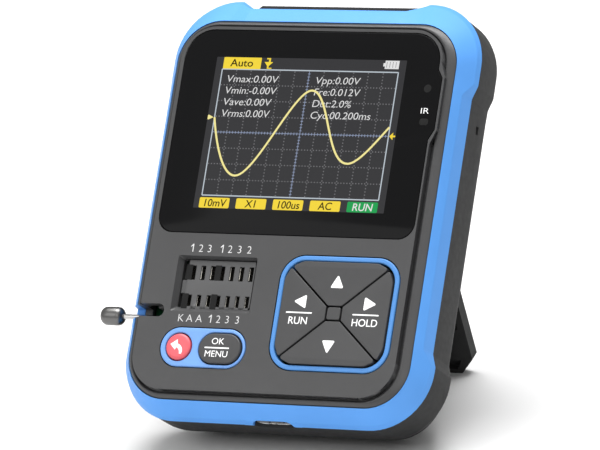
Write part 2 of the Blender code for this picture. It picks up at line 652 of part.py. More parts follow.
def battery(mats):
    finish(box("battery", (-25, 25), (13.0, 21.4), (-24, 12), bevel=1.2), mats["cell"])
    finish(box("battery_pad", (-15, 15), (21.7, RECESS_Y - 1.8 - GAP), (-18, 6)), mats["foam"])
    y0 = PCB_Y[1] + GAP
    finish(box("battery_socket", (-21.2, -15.2), (y0, y0 + 4.0), (14.2, 19.0)), mats["white"])
    for name, x in (("red", -19.2), ("black", -17.2)):
        loop = [(x, 18.0 - 2.1 * math.cos(a), 16.6 + 2.4 * math.sin(a))
                for a in (0.0, 0.5, 1.0, math.pi / 2, 2.1, 2.6, math.pi)]
        lead = tube("battery_lead_" + name, [(x, 20.1, 12.3)] + loop[::-1], 0.5)
        finish(lead, mats["red"] if name == "red" else mats["chip"])


# ---------------------------------------------------------------- stand

def stand(mats):
    """Plate that swings out of the back; modelled folded, then turned to its open stop."""
    pivot_y, pivot_z = STAND_PIVOT
    joint = empty("kickstand_joint", (0, pivot_y, pivot_z), DEVICE)
    joint.rotation_euler = (STAND_OPEN, 0, 0)
    near, far = pivot_y - STAND_T / 2, pivot_y + STAND_T / 2
    half = [(STAND_FOOT_W, pivot_z - STAND_LENGTH), (STAND_W, pivot_z - STAND_SHOULDER), (STAND_W, pivot_z)]
    leg = plate("kickstand", [mirrored(half)], near, far)
    knuckle = rod("stand_knuckle", "X", (0, pivot_y, pivot_z), STAND_T / 2, 2 * STAND_W, 16, TOOLS)
    pockets = [plate("stand_pocket", [mirrored([(19.6, pivot_z - 40.4), (19.6, pivot_z - 12.0)])],
                     near - 1.0, near + 1.6, TOOLS),
               plate("stand_grip", [mirrored([(17.0, pivot_z - 52.0), (18.6, pivot_z - 49.4)])],
                     near - 1.0, near + 1.6, TOOLS)]
    bores = [rod("pin_seat", "X", (side * (STAND_W - 1.6), pivot_y, pivot_z), 1.0, 5.4, 12, TOOLS)
             for side in (-1, 1)]
    join(leg, knuckle)
    finish(cut(leg, *pockets, *bores), mats["shell"], joint)
    for name, side in (("left", -1), ("right", 1)):
        pin = rod("kickstand_pin_" + name, "X", (side * (STAND_W - 1.1), pivot_y, pivot_z), 0.7, 5.0, 12)
        finish(pin, mats["steel"], joint)


def lean_angle():
    """Angle at which the lower rear edge and the foot of the stand are level."""
    pivot_y, pivot_z = STAND_PIVOT
    s, c = math.sin(STAND_OPEN), math.cos(STAND_OPEN)
    foot_y = pivot_y + STAND_LENGTH * s - STAND_T / 2 * c
    foot_z = pivot_z - STAND_LENGTH * c - STAND_T / 2 * s
    return math.atan2(foot_z - HEEL[1], foot_y - HEEL[0])


def settle():
    """Lean the device back, then put its footprint's middle at the origin, on the ground."""
    DEVICE.rotation_euler = (-lean_angle(), 0, 0)
    bpy.context.view_layer.update()
    graph = bpy.context.evaluated_depsgraph_get()
    points = []
    for obj in MODEL.objects:
        if obj.type == "MESH":
            seen = obj.evaluated_get(graph)
            points += [obj.matrix_world @ vertex.co for vertex in seen.data.vertices]
    low = [min(p[i] for p in points) for i in range(3)]
    high = [max(p[i] for p in points) for i in range(3)]
    DEVICE.location = (-(low[0] + high[0]) / 2, -(low[1] + high[1]) / 2, -low[2])


def materials():
    return {
        "shell": material("dark_plastic", (0.070, 0.070, 0.073), 0.5),
        "cover": material("cover_plastic", (0.080, 0.080, 0.083), 0.45),
        "blue": material("blue_plastic", (0.075, 0.36, 0.88), 0.4),
        "key": material("key_plastic", (0.050, 0.050, 0.053), 0.5),
        "red": material("red_plastic", (0.72, 0.10, 0.11), 0.4),
        "lens": material("black_acrylic", (0.006, 0.006, 0.007), 0.06),
        "lcd": material("screen_glass", (0.045, 0.045, 0.05), 0.2),
        "white": material("white_plastic", (0.8, 0.8, 0.78), 0.5),
        "flex": material("flex_film", (0.45, 0.22, 0.04), 0.4),
        "switch": material("switch_black", (0.03, 0.03, 0.03), 0.5),
        "socket": material("socket_plastic", (0.03, 0.03, 0.032), 0.5),
        "contact": material("contact_gold", (0.75, 0.6, 0.3), 0.3, 1.0),
        "brass": material("gold_plate", (0.8, 0.6, 0.25), 0.3, 1.0),
        "steel": material("nickel_steel", (0.6, 0.6, 0.6), 0.3, 1.0),
        "rod": material("bright_steel", (0.7, 0.7, 0.7), 0.15, 1.0),
        "knob": material("dark_nickel", (0.12, 0.12, 0.12), 0.3, 1.0),
        "pcb": material("green_board", (0.01, 0.10, 0.03), 0.4),
        "chip": material("chip_black", (0.02, 0.02, 0.02), 0.5),
        "cell": material("battery_wrap", (0.55, 0.56, 0.58), 0.35),
        "foam": material("foam", (0.02, 0.02, 0.02), 0.9),
    }


def main():
    global MODEL, TOOLS, DEVICE
    clear_scene()
    MODEL = new_collection("oscilloscope")
    TOOLS = new_collection("cutters")
    DEVICE = empty("device_lean", (0, 0, 0))
    mats = materials()
    notch, usb = lever_notch(), usb_opening()
    front_cover(mats["cover"], notch, usb)
    bumper_frame(mats["blue"], notch, usb)
    rear_cover(mats["shell"], usb)
    screws(mats["steel"])
    screen(mats)
    pad_ring(mats["blue"])
    pad_keys(mats["key"])
    pad_hub(mats["key"])
    button_trim(mats["blue"])
    buttons(mats)
    socket(mats)
    lever(mats)
    board(mats)
    usb_port(mats)
    coax_jacks(mats)
    slide_switch(mats)
    battery(mats)
    stand(mats)
    settle()


main()
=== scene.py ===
"""Looks of a hand-held oscilloscope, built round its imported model.

Pieces are drawn in the device's own frame, in mm: X to the right, Y from the front face towards
the back, Z up the face, with the origin at the middle of the front cover.  DEVICE places that
frame in the row frame, leaning back on the stand.
"""
import json
import math

import bmesh
import bpy
from mathutils import Matrix, Vector


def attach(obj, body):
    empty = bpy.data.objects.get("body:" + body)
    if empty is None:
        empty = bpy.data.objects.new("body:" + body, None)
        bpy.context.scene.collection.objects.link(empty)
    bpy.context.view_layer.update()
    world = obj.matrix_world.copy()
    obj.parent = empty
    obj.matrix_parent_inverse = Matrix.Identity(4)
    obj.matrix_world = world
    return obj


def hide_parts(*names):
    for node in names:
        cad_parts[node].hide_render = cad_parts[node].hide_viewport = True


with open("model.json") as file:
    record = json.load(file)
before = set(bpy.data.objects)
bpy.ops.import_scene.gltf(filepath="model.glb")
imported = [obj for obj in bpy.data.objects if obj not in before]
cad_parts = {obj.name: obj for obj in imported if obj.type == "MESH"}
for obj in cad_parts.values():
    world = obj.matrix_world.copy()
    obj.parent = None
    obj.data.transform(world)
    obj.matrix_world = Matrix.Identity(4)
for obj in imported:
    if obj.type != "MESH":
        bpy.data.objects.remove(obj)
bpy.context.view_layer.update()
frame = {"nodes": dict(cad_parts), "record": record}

MM = 0.001
HARD_EDGE = 32.0  # degrees between faces from which an edge is drawn hard
PARTING = 7.5  # depth where the bumper meets the rear cover
BACK = 28.3  # depth of the flat back
BACK_FACE_SPOT = (28.5, BACK, 0.0)  # where the record's back_face mount lies
STAND_PIVOT = (26.8, 14.6)  # y, z
STAND_OPEN = math.radians(51.3)


# ---------------- placing

def device_matrix():
    """Place of the device's frame, from the back face that the record states."""
    mount = next(m for m in frame["record"]["mounts"] if m["name"] == "back_face")
    normal = Vector(mount["axis"])
    turn = Matrix.Rotation(math.atan2(normal.z, normal.y), 4, "X")
    return Matrix.Translation(Vector(mount["pos_m"]) - turn @ (Vector(BACK_FACE_SPOT) * MM)) @ turn


DEVICE = device_matrix()


def about(pivot, angle):
    """Turn about an axis along X through a point given as (y, z) in mm."""
    centre = Vector((0, pivot[0], pivot[1])) * MM
    return Matrix.Translation(centre) @ Matrix.Rotation(angle, 4, "X") @ Matrix.Translation(-centre)


def show(obj, slot, mat, *nodes, body="casing", place=None):
    """Put a piece in the device, on its body, in a material of MATS, for the CAD nodes given."""
    obj.data.transform(DEVICE @ (place or Matrix.Identity(4)))
    obj.data.materials.clear()
    obj.data.materials.append(MATS[mat])
    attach(obj, body)
    if nodes:
        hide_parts(*nodes)
    return obj


# ---------------- outlines, in mm

LEAST_REACH = 0.12
SIDE_SHARED = 0.98  # part of a side that the arcs at its two ends may take


def arc(cx, cz, radius, start, stop, steps):
    """Points of an arc, angles in degrees from +X towards +Z."""
    angles = [math.radians(start + (stop - start) * i / steps) for i in range(steps + 1)]
    return [(cx + radius * math.cos(a), cz + radius * math.sin(a)) for a in angles]


def circle(cx, cz, radius):
    steps = 48
    return arc(cx, cz, radius, 0, 360 - 360 / steps, steps - 1)


def fillet(before, point, after, reach, steps):
    """Arc that rounds one corner of an outline, starting a reach short of it."""
    back, ahead = before - point, after - point
    weight = math.sin(back.angle(ahead, math.pi) / 2)
    a = point + back.normalized() * reach
    b = point + ahead.normalized() * reach
    points = []
    for i in range(steps + 1):
        u = i / steps
        wa, wp, wb = (1 - u) ** 2, 2 * u * (1 - u) * weight, u * u
        points.append(tuple((a * wa + point * wp + b * wb) / (wa + wp + wb)))
    return points


def outline(corners, steps=8):
    """Closed outline through corners given as (x, z, radius), or (x, z, radius, depth).

    Each corner's arc starts at least LEAST_REACH from it, and where two arcs would meet on a side
    both shrink to share it.
    """
    places = [Vector((c[0], c[1], *c[3:])) for c in corners]
    count = len(places)
    reaches = []
    for i, corner in enumerate(corners):
        inside = (places[i - 1] - places[i]).angle(places[(i + 1) % count] - places[i], math.pi)
        reaches.append(max(corner[2] * math.tan((math.pi - inside) / 2), LEAST_REACH))
    for i in range(count):
        j = (i + 1) % count
        share = SIDE_SHARED * (places[j] - places[i]).length / (reaches[i] + reaches[j])
        if share < 1.0:
            reaches[i] *= share
            reaches[j] *= share
    points = []
    for i, reach in enumerate(reaches):
        points += fillet(places[i - 1], places[i], places[(i + 1) % count], reach, steps)
    return points


def rect(box, radius, steps=8):
    x0, x1, z0, z1 = box
    return outline([(x1, z0, radius), (x1, z1, radius), (x0, z1, radius), (x0, z0, radius)], steps)


def grown(box, by):
    x0, x1, z0, z1 = box
    return (x0 - by, x1 + by, z0 - by, z1 + by)


def centred(x, z, width, height):
    return (x - width / 2, x + width / 2, z - height / 2, z + height / 2)


def stadium(cx, cz, width, height, steps=24):
    r = height / 2
    dx = width / 2 - r
    return arc(cx + dx, cz, r, -90, 90, steps) + arc(cx - dx, cz, r, 90, 270, steps)


def mirrored(half):
    return half + [(-p[0], *p[1:]) for p in reversed(half)]


# ---------------- solids

SOFT_EDGE = 40.0  # degrees between faces from which soften() rounds an edge
LARGE_FACE = 10 * MM * MM
CAPITAL = 0.729  # height of a capital in the built-in lettering of size 1
INK = 0.02  # thickness of print


def linked(name, data):
    obj = bpy.data.objects.new(name, data)
    bpy.context.scene.collection.objects.link(obj)
    return obj


def mesh_object(name, bm, angle=HARD_EDGE):
    """Object from a bmesh, shaded smooth with its hard edges kept."""
    bmesh.ops.recalc_face_normals(bm, faces=bm.faces)
    mesh = bpy.data.meshes.new(name)
    bm.to_mesh(mesh)
    bm.free()
    mesh.shade_smooth()
    mesh.set_sharp_from_angle(angle=math.radians(angle))
    return linked(name, mesh)


def lofted(name, bm, rings, closed, angle):
    """Object with faces between rings of vertices; capped, or closed on itself."""
    for near, far in list(zip(rings, rings[1:])) + ([(rings[-1], rings[0])] if closed else []):
        for i in range(len(near)):
            j = (i + 1) % len(near)
            bm.faces.new((near[i], near[j], far[j], far[i]))
    if not closed:
        bm.faces.new(rings[0])
        bm.faces.new(rings[-1])
    bmesh.ops.remove_doubles(bm, verts=bm.verts, dist=1e-7)
    return mesh_object(name, bm, angle)


def skin(name, sections, closed=False, angle=HARD_EDGE):
    """Surface through outlines of equal length, each with its depth."""
    bm = bmesh.new()
    rings = [[bm.verts.new((p[0] * MM, (p[2] if len(p) > 2 else y) * MM, p[1] * MM)) for p in points]
             for y, points in sections]
    return lofted(name, bm, rings, closed, angle)


def evaluated_mesh(obj):
    bpy.context.view_layer.update()
    seen = obj.evaluated_get(bpy.context.evaluated_depsgraph_get())
    return bpy.data.meshes.new_from_object(seen)


def polyline(curve, points):
    """Straight-sided spline through points in mm."""
    spline = curve.splines.new("POLY")
    spline.points.add(len(points) - 1)
    for point, co in zip(spline.points, points):
        point.co = (*(c * MM for c in co), 1.0)
    return spline


def from_curve(name, curve, angle=HARD_EDGE):
    """Mesh object made from a curve, with its caps welded on."""
    guide = linked(name + "_guide", curve)
    mesh = evaluated_mesh(guide)
    bpy.data.objects.remove(guide, do_unlink=True)
    bm = bmesh.new()
    bm.from_mesh(mesh)
    bmesh.ops.remove_doubles(bm, verts=bm.verts, dist=2e-6)
    bpy.data.meshes.remove(mesh)
    return mesh_object(name, bm, angle)


def clockwise(points):
    area = sum(a[0] * b[1] - b[0] * a[1] for a, b in zip(points, points[1:] + points[:1]))
    return points if area < 0 else points[::-1]


def flat(name, outlines, y0, y1, edge=0.0):
    """Plate between two depths with softened edges; outlines after the first are holes."""
    curve = bpy.data.curves.new(name + "_outline", "CURVE")
    curve.dimensions = "2D"
    curve.fill_mode = "BOTH"
    curve.bevel_depth = edge * MM
    curve.bevel_resolution = 3
    curve.offset = -edge * MM
    curve.extrude = ((y1 - y0) / 2 - edge) * MM
    for number, points in enumerate(outlines):
        points = clockwise(points) if number else clockwise(points)[::-1]
        polyline(curve, [(x, z, 0.0) for x, z in points]).use_cyclic_u = True
    obj = from_curve(name, curve)
    middle = Matrix.Translation((0, (y0 + y1) / 2 * MM, 0))
    obj.data.transform(middle @ Matrix.Rotation(math.pi / 2, 4, "X"))
    return obj


def tube(name, points, radius):
    curve = bpy.data.curves.new(name + "_path", "CURVE")
    curve.dimensions = "3D"
    curve.bevel_depth = radius * MM
    curve.bevel_resolution = 6
    curve.use_fill_caps = True
    polyline(curve, points)
    return from_curve(name, curve)


def turned(name, profile, axis="Y", at=(0, 0, 0), steps=48, angle=HARD_EDGE):
    """Solid of revolution from (distance along the axis, radius) pairs, in mm."""
    bm = bmesh.new()
    rings = []
    for along, radius in profile:
        ring = []
        for i in range(steps):
            a = 2 * math.pi * i / steps
            across, up = radius * math.cos(a), radius * math.sin(a)
            spot = {"X": (along, across, up), "Y": (across, along, up), "Z": (across, up, along)}[axis]
            ring.append(bm.verts.new((Vector(spot) + Vector(at)) * MM))
        rings.append(ring)
    return lofted(name, bm, rings, False, angle)


def block(name, x, y, z, edge=0.0):
    """Box between pairs of limits, with rounded edges."""
    bm = bmesh.new()
    bmesh.ops.create_cube(bm, size=1.0)
    bmesh.ops.scale(bm, verts=bm.verts, vec=Vector((x[1] - x[0], y[1] - y[0], z[1] - z[0])) * MM)
    bmesh.ops.translate(bm, verts=bm.verts, vec=Vector((sum(x), sum(y), sum(z))) * MM / 2)
    if edge:
        bmesh.ops.bevel(bm, geom=bm.edges[:], offset=edge * MM, segments=3, profile=0.5, affect="EDGES")
    return mesh_object(name, bm)


def carve(obj, operation, *tools):
    """Boolean the tools into an object for good, then remove them."""
    for tool in tools:
        modifier = obj.modifiers.new(tool.name, "BOOLEAN")
        modifier.operation = operation
        modifier.object = tool
        modifier.solver = "EXACT"
    settle(obj)
    for tool in tools:
        bpy.data.objects.remove(tool, do_unlink=True)
    return obj


def settle(obj, angle=HARD_EDGE):
    """Apply an object's modifiers and shade it again."""
    mesh = evaluated_mesh(obj)
    obj.modifiers.clear()
    obj.data = mesh
    mesh.shade_smooth()
    mesh.set_sharp_from_angle(angle=math.radians(angle))
    return obj


def soften(obj, width):
    """Round an object's hard edges, and keep its large or front faces perfectly flat."""
    modifier = obj.modifiers.new("soft edges", "BEVEL")
    modifier.width = width * MM
    modifier.segments = 3
    modifier.limit_method = "ANGLE"
    modifier.angle_limit = math.radians(SOFT_EDGE)
    settle(obj, SOFT_EDGE)
    for face in obj.data.polygons:
        if len(face.vertices) > 4 or abs(face.normal.y) > 0.9999 or face.area > LARGE_FACE:
            face.use_smooth = False
    return obj


def joined(name, objects):
    """One object from several that ride together."""
    bm = bmesh.new()
    for obj in objects:
        bm.from_mesh(obj.data)
        bpy.data.objects.remove(obj, do_unlink=True)
    mesh = bpy.data.meshes.new(name)
    bm.to_mesh(mesh)
    bm.free()
    return linked(name, mesh)


def lettering(name, words, x, z, height, y, width=None, bold=0.0, slant=0.0, align="LEFT"):
    """Thin printed words: x and z are the baseline's start or middle, height is a capital's."""
    curve = bpy.data.curves.new(name + "_text", "FONT")
    curve.body = words
    curve.align_x = align
    curve.size = 1.0
    curve_depth = 0.004
    curve.extrude = curve_depth
    curve.offset = bold
    curve.shear = slant
    curve.resolution_u = 6
    obj = from_curve(name, curve, 60)
    scale = height * MM / CAPITAL
    across = scale
    if width:
        xs = [v.co.x for v in obj.data.vertices]
        across = width * MM / (max(xs) - min(xs))
    size = Matrix.Diagonal((across, scale, INK * MM / (2 * curve_depth), 1.0))
    turn = Matrix.Translation((x * MM, y * MM, z * MM)) @ Matrix.Rotation(math.pi / 2, 4, "X")
    obj.data.transform(turn @ size)
    return obj


# ---------------- materials

LENS_SPECULAR = 0.08  # low, as on a lens with a coating against glare


def set_inputs(node, **values):
    """Set a node's inputs; an underscore stands for a space in an input's name."""
    for name, value in values.items():
        node.inputs[name.replace("_", " ")].default_value = value


def plain_material(name, colour, roughness, metallic=0.0):
    mat = bpy.data.materials.new(name)
    mat.use_nodes = True
    set_inputs(mat.node_tree.nodes["Principled BSDF"], Base_Color=(*colour, 1.0), Roughness=roughness,
               Metallic=metallic)
    return mat


def noise(tree, scale, detail):
    nodes, links = tree.nodes, tree.links
    place = nodes.new("ShaderNodeTexCoord")
    texture = nodes.new("ShaderNodeTexNoise")
    set_inputs(texture, Scale=scale, Detail=detail)
    links.new(place.outputs["Object"], texture.inputs["Vector"])
    return texture.outputs["Fac"]


def spread(tree, value, low, high):
    """Map a noise value's middle range onto low to high."""
    node = tree.nodes.new("ShaderNodeMapRange")
    set_inputs(node, From_Min=0.3, From_Max=0.7, To_Min=low, To_Max=high)
    tree.links.new(value, node.inputs["Value"])
    return node.outputs["Result"]


def mixed(tree, value, first, second):
    node = tree.nodes.new("ShaderNodeMix")
    node.data_type = "RGBA"
    node.inputs["A"].default_value = (*first, 1.0)
    node.inputs["B"].default_value = (*second, 1.0)
    tree.links.new(value, node.inputs["Factor"])
    return node.outputs["Result"]


def shaded(colour, by):
    return tuple(min(1.0, c * by) for c in colour)


def moulded(name, colour, roughness, grain=0.12, tone=0.06, pitch=5200.0, specular=0.5):
    """Moulded plastic: spark-eroded grain in the bump, faint flow mottle in colour and gloss."""
    mat = plain_material(name, colour, roughness)
    tree = mat.node_tree
    shader = tree.nodes["Principled BSDF"]
    set_inputs(shader, Specular_IOR_Level=specular)
    mottle = noise(tree, 90.0, 3.0)
    tree.links.new(mixed(tree, spread(tree, mottle, 0.0, 1.0), shaded(colour, 1 - tone),
                         shaded(colour, 1 + tone)), shader.inputs["Base Color"])
    tree.links.new(spread(tree, noise(tree, 700.0, 4.0), roughness - 0.04, roughness + 0.06),
                   shader.inputs["Roughness"])
    bump = tree.nodes.new("ShaderNodeBump")
    set_inputs(bump, Strength=grain, Distance=0.00006)
    tree.links.new(noise(tree, pitch, 2.0), bump.inputs["Height"])
    tree.links.new(bump.outputs["Normal"], shader.inputs["Normal"])
    return mat


def glossy(name, colour, roughness):
    """Polished plastic with faint wipe marks in its gloss."""
    mat = plain_material(name, colour, roughness)
    tree = mat.node_tree
    shader = tree.nodes["Principled BSDF"]
    set_inputs(shader, Specular_IOR_Level=LENS_SPECULAR)
    tree.links.new(spread(tree, noise(tree, 60.0, 5.0), roughness, roughness + 0.05),
                   shader.inputs["Roughness"])
    return mat


def metal(name, colour, roughness, streak=(900.0, 900.0, 900.0)):
    """Metal with fine drawn or turned streaks."""
    tone = 0.08
    mat = plain_material(name, colour, roughness, metallic=1.0)
    tree = mat.node_tree
    shader = tree.nodes["Principled BSDF"]
    place = tree.nodes.new("ShaderNodeTexCoord")
    stretch = tree.nodes.new("ShaderNodeMapping")
    set_inputs(stretch, Scale=streak)
    texture = tree.nodes.new("ShaderNodeTexNoise")
    set_inputs(texture, Scale=1.0, Detail=3.0)
    tree.links.new(place.outputs["Object"], stretch.inputs["Vector"])
    tree.links.new(stretch.outputs["Vector"], texture.inputs["Vector"])
    fac = texture.outputs["Fac"]
    tree.links.new(spread(tree, fac, roughness - 0.05, roughness + 0.1), shader.inputs["Roughness"])
    tree.links.new(mixed(tree, spread(tree, fac, 0.0, 1.0), shaded(colour, 1 - tone),
                         shaded(colour, 1 + tone)), shader.inputs["Base Color"])
    return mat


def glowing(name, colour):
    """Lit part of the screen, faintly uneven."""
    mat = plain_material(name, (0.0, 0.0, 0.0), 0.25)
    tree = mat.node_tree
    shader = tree.nodes["Principled BSDF"]
    set_inputs(shader, Emission_Strength=1.0, Specular_IOR_Level=LENS_SPECULAR)
    cells = noise(tree, 2500.0, 1.0)
    tree.links.new(mixed(tree, spread(tree, cells, 0.0, 1.0), shaded(colour, 0.95), colour),
                   shader.inputs["Emission Color"])
    return mat


MATS = {
    "cover": moulded("cover_satin", (0.037, 0.037, 0.038), 0.38),
    "shell": moulded("shell_satin", (0.032, 0.032, 0.032), 0.55, grain=0.2, specular=0.1),
    "blue": moulded("blue_satin", (0.096, 0.300, 0.71), 0.42, tone=0.03, specular=0.15),
    "key": moulded("key_satin", (0.038, 0.038, 0.039), 0.48, grain=0.08),
    "ring": moulded("ring_satin", (0.062, 0.215, 0.52), 0.4, tone=0.03, specular=0.4),
    "trim": moulded("trim_satin", (0.135, 0.30, 0.66), 0.4, tone=0.03),
    "red": moulded("red_satin", (0.66, 0.095, 0.115), 0.4, tone=0.04),
    "lens": glossy("lens_gloss", (0.0045, 0.0045, 0.0048), 0.08),
    "socket": moulded("socket_satin", (0.060, 0.060, 0.061), 0.5),
    # near-black: own colour of the small windows and the switches, and painted shade on sheets in the
    # socket's wells, beside its slots and in the stand's pocket
    "dark": moulded("black_plastic_and_painted_shade", (0.006, 0.006, 0.006), 0.7, specular=0.2),
    "white": moulded("white_plastic", (0.80, 0.80, 0.78), 0.5, tone=0.02),
    "print": plain_material("white_print", (0.86, 0.86, 0.86), 0.55),
    "legend": plain_material("grey_print", (0.58, 0.58, 0.58), 0.55),
    "rod": metal("bright_rod", (0.5, 0.49, 0.48), 0.16, (40.0, 4000.0, 4000.0)),
    "knob": metal("dark_nickel", (0.14, 0.138, 0.135), 0.3, (300.0, 300.0, 300.0)),
    "steel": metal("nickel_steel", (0.62, 0.62, 0.61), 0.28),
    "contact": metal("spring_contact", (0.70, 0.67, 0.60), 0.22),
    "brass": metal("gold_plate", (0.83, 0.61, 0.26), 0.22),
    "board": moulded("solder_mask", (0.012, 0.11, 0.04), 0.35),
    "chip": moulded("chip_epoxy", (0.02, 0.02, 0.02), 0.5, pitch=7000.0),
    "cell": moulded("cell_pouch", (0.55, 0.56, 0.58), 0.3),
    "foam": moulded("foam_pad", (0.02, 0.02, 0.02), 0.9, grain=0.6, pitch=2500.0),
    "flex": moulded("flex_film", (0.45, 0.22, 0.05), 0.3),
    "panel": glowing("screen_dark", (0.040, 0.040, 0.043)),
    "grid": glowing("screen_grid", (0.19, 0.19, 0.20)),
    "axis": glowing("screen_axis", (0.30, 0.36, 0.52)),
    "frame": glowing("screen_frame", (0.52, 0.58, 0.64)),
    "trace": glowing("screen_trace", (0.93, 0.83, 0.33)),
    "yellow": glowing("screen_yellow", (0.93, 0.70, 0.05)),
    "green": glowing("screen_green", (0.015, 0.36, 0.085)),
    "words": glowing("screen_words", (0.78, 0.78, 0.78)),
    "ink": glowing("screen_ink", (0.02, 0.014, 0.002)),
}


# ---------------- casing

# Boxes are (left, right, bottom, top), stadiums (middle x, middle z, width, height), in mm.
EAR_SIDE = ((33.0, 29.8), (-34.0, -31.0))  # heights where each ear steps in to the waist
EAR_TOP = (24.0, 20.2)  # where the top edge steps down between the ears
EAR_TOP_BACK = (20.5, 18.0)  # the same on the flat back
CORNER_STEPS = 14  # points in each of the casing's large corners
PLATEAU = (-34.3, 32.95, -43.8, 44.0)  # flat front inside the groove
PLATEAU_R = 8.4
COVER = (-35.85, 35.85, -45.62, 45.7)  # whole front cover
COVER_R = 10.2
LENS = (-33.15, 32.35, -6.1, 43.1)
PAD = (0.6, 30.9, -38.0, -10.8)
PAD_R = 6.0
PAD_RIM = 1.2
PAD_MID = (15.75, -24.4)
HUB = (3.3, 2.9)
TRIM = (-16.4, -33.65, 21.8, 9.3)
TRIM_FRONT, TRIM_BACK = -0.2, 2.6  # depths of the blue ring and trim
BACK_KEY = (-22.6, -33.65, 3.15)  # x, z, radius
OK_KEY = (-11.85, -33.75, 10.8, 7.1)
KEY_FRONT, KEY_BACK = -0.6, 4.2
SOCKET_HOLE = (-25.3, -6.3, -23.85, -12.35)
SOCKET_BEVEL = (-26.4, -5.95, -25.1, -11.7)
NOTCH = (-29.5, -25.05, 1.55)  # x, z and radius of its round end
LEVER = (-28.8, 5.2, -25.6, 0.6)  # x and y of its upright end, z of its arm, radius
SCREWS = ((-27.0, 42.0), (27.0, 42.0), (-26.0, -42.0), (26.0, -42.0))
USB = (1.0, 7.85)  # x, y
JACKS = (("in", -13.0), ("out", 13.0))
JACK_Y = 15.0


def body_corners(depth, width, top, bottom, radius, side_dip=0.0, top_dip=0.0, rise=0.0, crown=0.0,
                 ear_top=EAR_TOP):
    """Corners of the casing's outline: a rounded rectangle whose four corners stand out as ears.

    The waists between the ears lie nearer the front by the rise, and the upper corners are rounder
    than the lower ones by the crown.
    """
    (up_ear, up_waist), (low_ear, low_waist) = EAR_SIDE
    waist, near = width - side_dip, depth - rise
    half = [(width, bottom, radius, depth), (width, low_ear, 1.5, depth), (waist, low_waist, 2.0, near),
            (waist, up_waist, 2.0, near), (width, up_ear, 1.5, depth), (width, top, radius + crown, depth),
            (ear_top[0], top, 1.5, depth), (ear_top[1], top - top_dip, 1.5, near)]
    return mirrored(half)


def blended(a, b, share):
    return tuple(p + (q - p) * share for p, q in zip(a, b))


def rounded_levels(levels, reach=0.35, steps=4):
    """Replace each inner level of a profile by a short curve, as a small fillet would."""
    smooth = [levels[0]]
    for before, level, after in zip(levels, levels[1:], levels[2:]):
        ends = []
        for other in (before, after):
            length = math.hypot(other[0] - level[0], other[1] - level[1])
            ends.append(blended(level, other, min(reach / length, 0.45)))
        for i in range(steps + 1):
            u = i / steps
            smooth.append(blended(blended(ends[0], level, u), blended(level, ends[1], u), u))
    return smooth + [levels[-1]]


def body_skin(name, levels, closed=False, angle=HARD_EDGE):
    """Skin through body outlines, each level holding body_corners' values."""
    sections = [(level[0], outline(body_corners(*level), CORNER_STEPS)) for level in levels]
    return skin(name, sections, closed, angle)


def notch_tool(y0, y1):
    x, z, half = NOTCH
    edge = arc(x, z, half, -90, 90, 20) + [(-50.0, z + half), (-50.0, z - half)]
    return flat("notch_tool", [edge], y0, y1)


def usb_tool():
    return upright(flat("usb_tool", [stadium(USB[0], 0.0, 10.6, 4.0, 16)], -55.0, -43.0))


def lens_edge(grow=0.0):
    x0, x1, z0, z1 = grown(LENS, grow)
    bump = 33.6 + grow
    return outline([(x1, z0, 4.0), (x1, 17.8 - grow, 0.6), (bump, 20.3 - grow, 0.6), (bump, 32.4 + grow, 0.6),
                    (x1, 34.35 + grow, 0.6), (x1, z1, 7.0), (x0, z1, 7.0), (x0, z0, 4.0)])


def plateau():
    """Edge of the flat front, which swells beside the lens's bump."""
    x0, x1, z0, z1 = PLATEAU
    r, bump = PLATEAU_R, x1 + 1.35
    return outline([(x1, z0, r), (x1, 16.6, 0.8), (bump, 20.0, 1.2), (bump, 32.8, 1.2), (x1, 36.2, 0.8),
                    (x1, z1, r), (x0, z1, r), (x0, z0, r)], CORNER_STEPS)


def cover_face():
    """Front plateau, pierced for the lens, the socket, the pad, the buttons and the lever."""
    x, z, half = NOTCH
    edge = plateau()
    holes = [lens_edge(0.18), rect(grown(PAD, 0.25), PAD_R + 0.25, CORNER_STEPS),
             stadium(*TRIM[:2], TRIM[2] + 0.5, TRIM[3] + 0.5)]
    face = flat("cover_face", [edge] + holes, 0.0, 2.4)
    slot = flat("slot_tool", [outline([(-38.0, z - half, 0.1), (x + half, z - half, half),
                                       (x + half, z + half, half), (-38.0, z + half, 0.1)], 12)], -2.0, 3.0)
    mouth = skin("mouth_tool", [(-0.5, rect(grown(SOCKET_BEVEL, 0.4), 0.5, 4)),
                                (0.0, rect(SOCKET_BEVEL, 0.4, 4)),
                                (1.25, rect(SOCKET_HOLE, 0.3, 4)), (3.0, rect(SOCKET_HOLE, 0.3, 4))])
    return soften(carve(face, "DIFFERENCE", slot, mouth), 0.3)


def cover_rim():
    """Groove round the plateau, the bead outside it, and the cover's wall behind."""
    bead = 0.8
    inner = rect(grown(COVER, -1.8), 8.4, CORNER_STEPS)

    def ring(grow):
        return rect(grown(PLATEAU, grow), PLATEAU_R + grow, CORNER_STEPS)

    def between(share):
        box = blended(grown(PLATEAU, bead), COVER, share)
        return rect(box, PLATEAU_R + bead + (COVER_R - PLATEAU_R - bead) * share, CORNER_STEPS)
    sections = [(3.2, ring(-1.2)), (2.0, ring(-1.2)), (2.0, ring(0.22)), (1.85, ring(0.38)),
                (1.35, ring(0.6)), (1.15, ring(0.72)), (1.08, between(0.1)), (1.12, between(0.25)),
                (1.28, between(0.5)), (1.52, between(0.8)), (1.75, between(1.0)), (7.2, between(1.0)),
                (7.2, inner), (3.2, inner)]
    rim = skin("cover_rim", sections, closed=True, angle=40)
    return carve(rim, "DIFFERENCE", notch_tool(-2.0, 6.1), usb_tool())


def front_cover():
    for piece in (cover_face(), cover_rim()):
        show(piece, "cover", "cover", "front_cover")


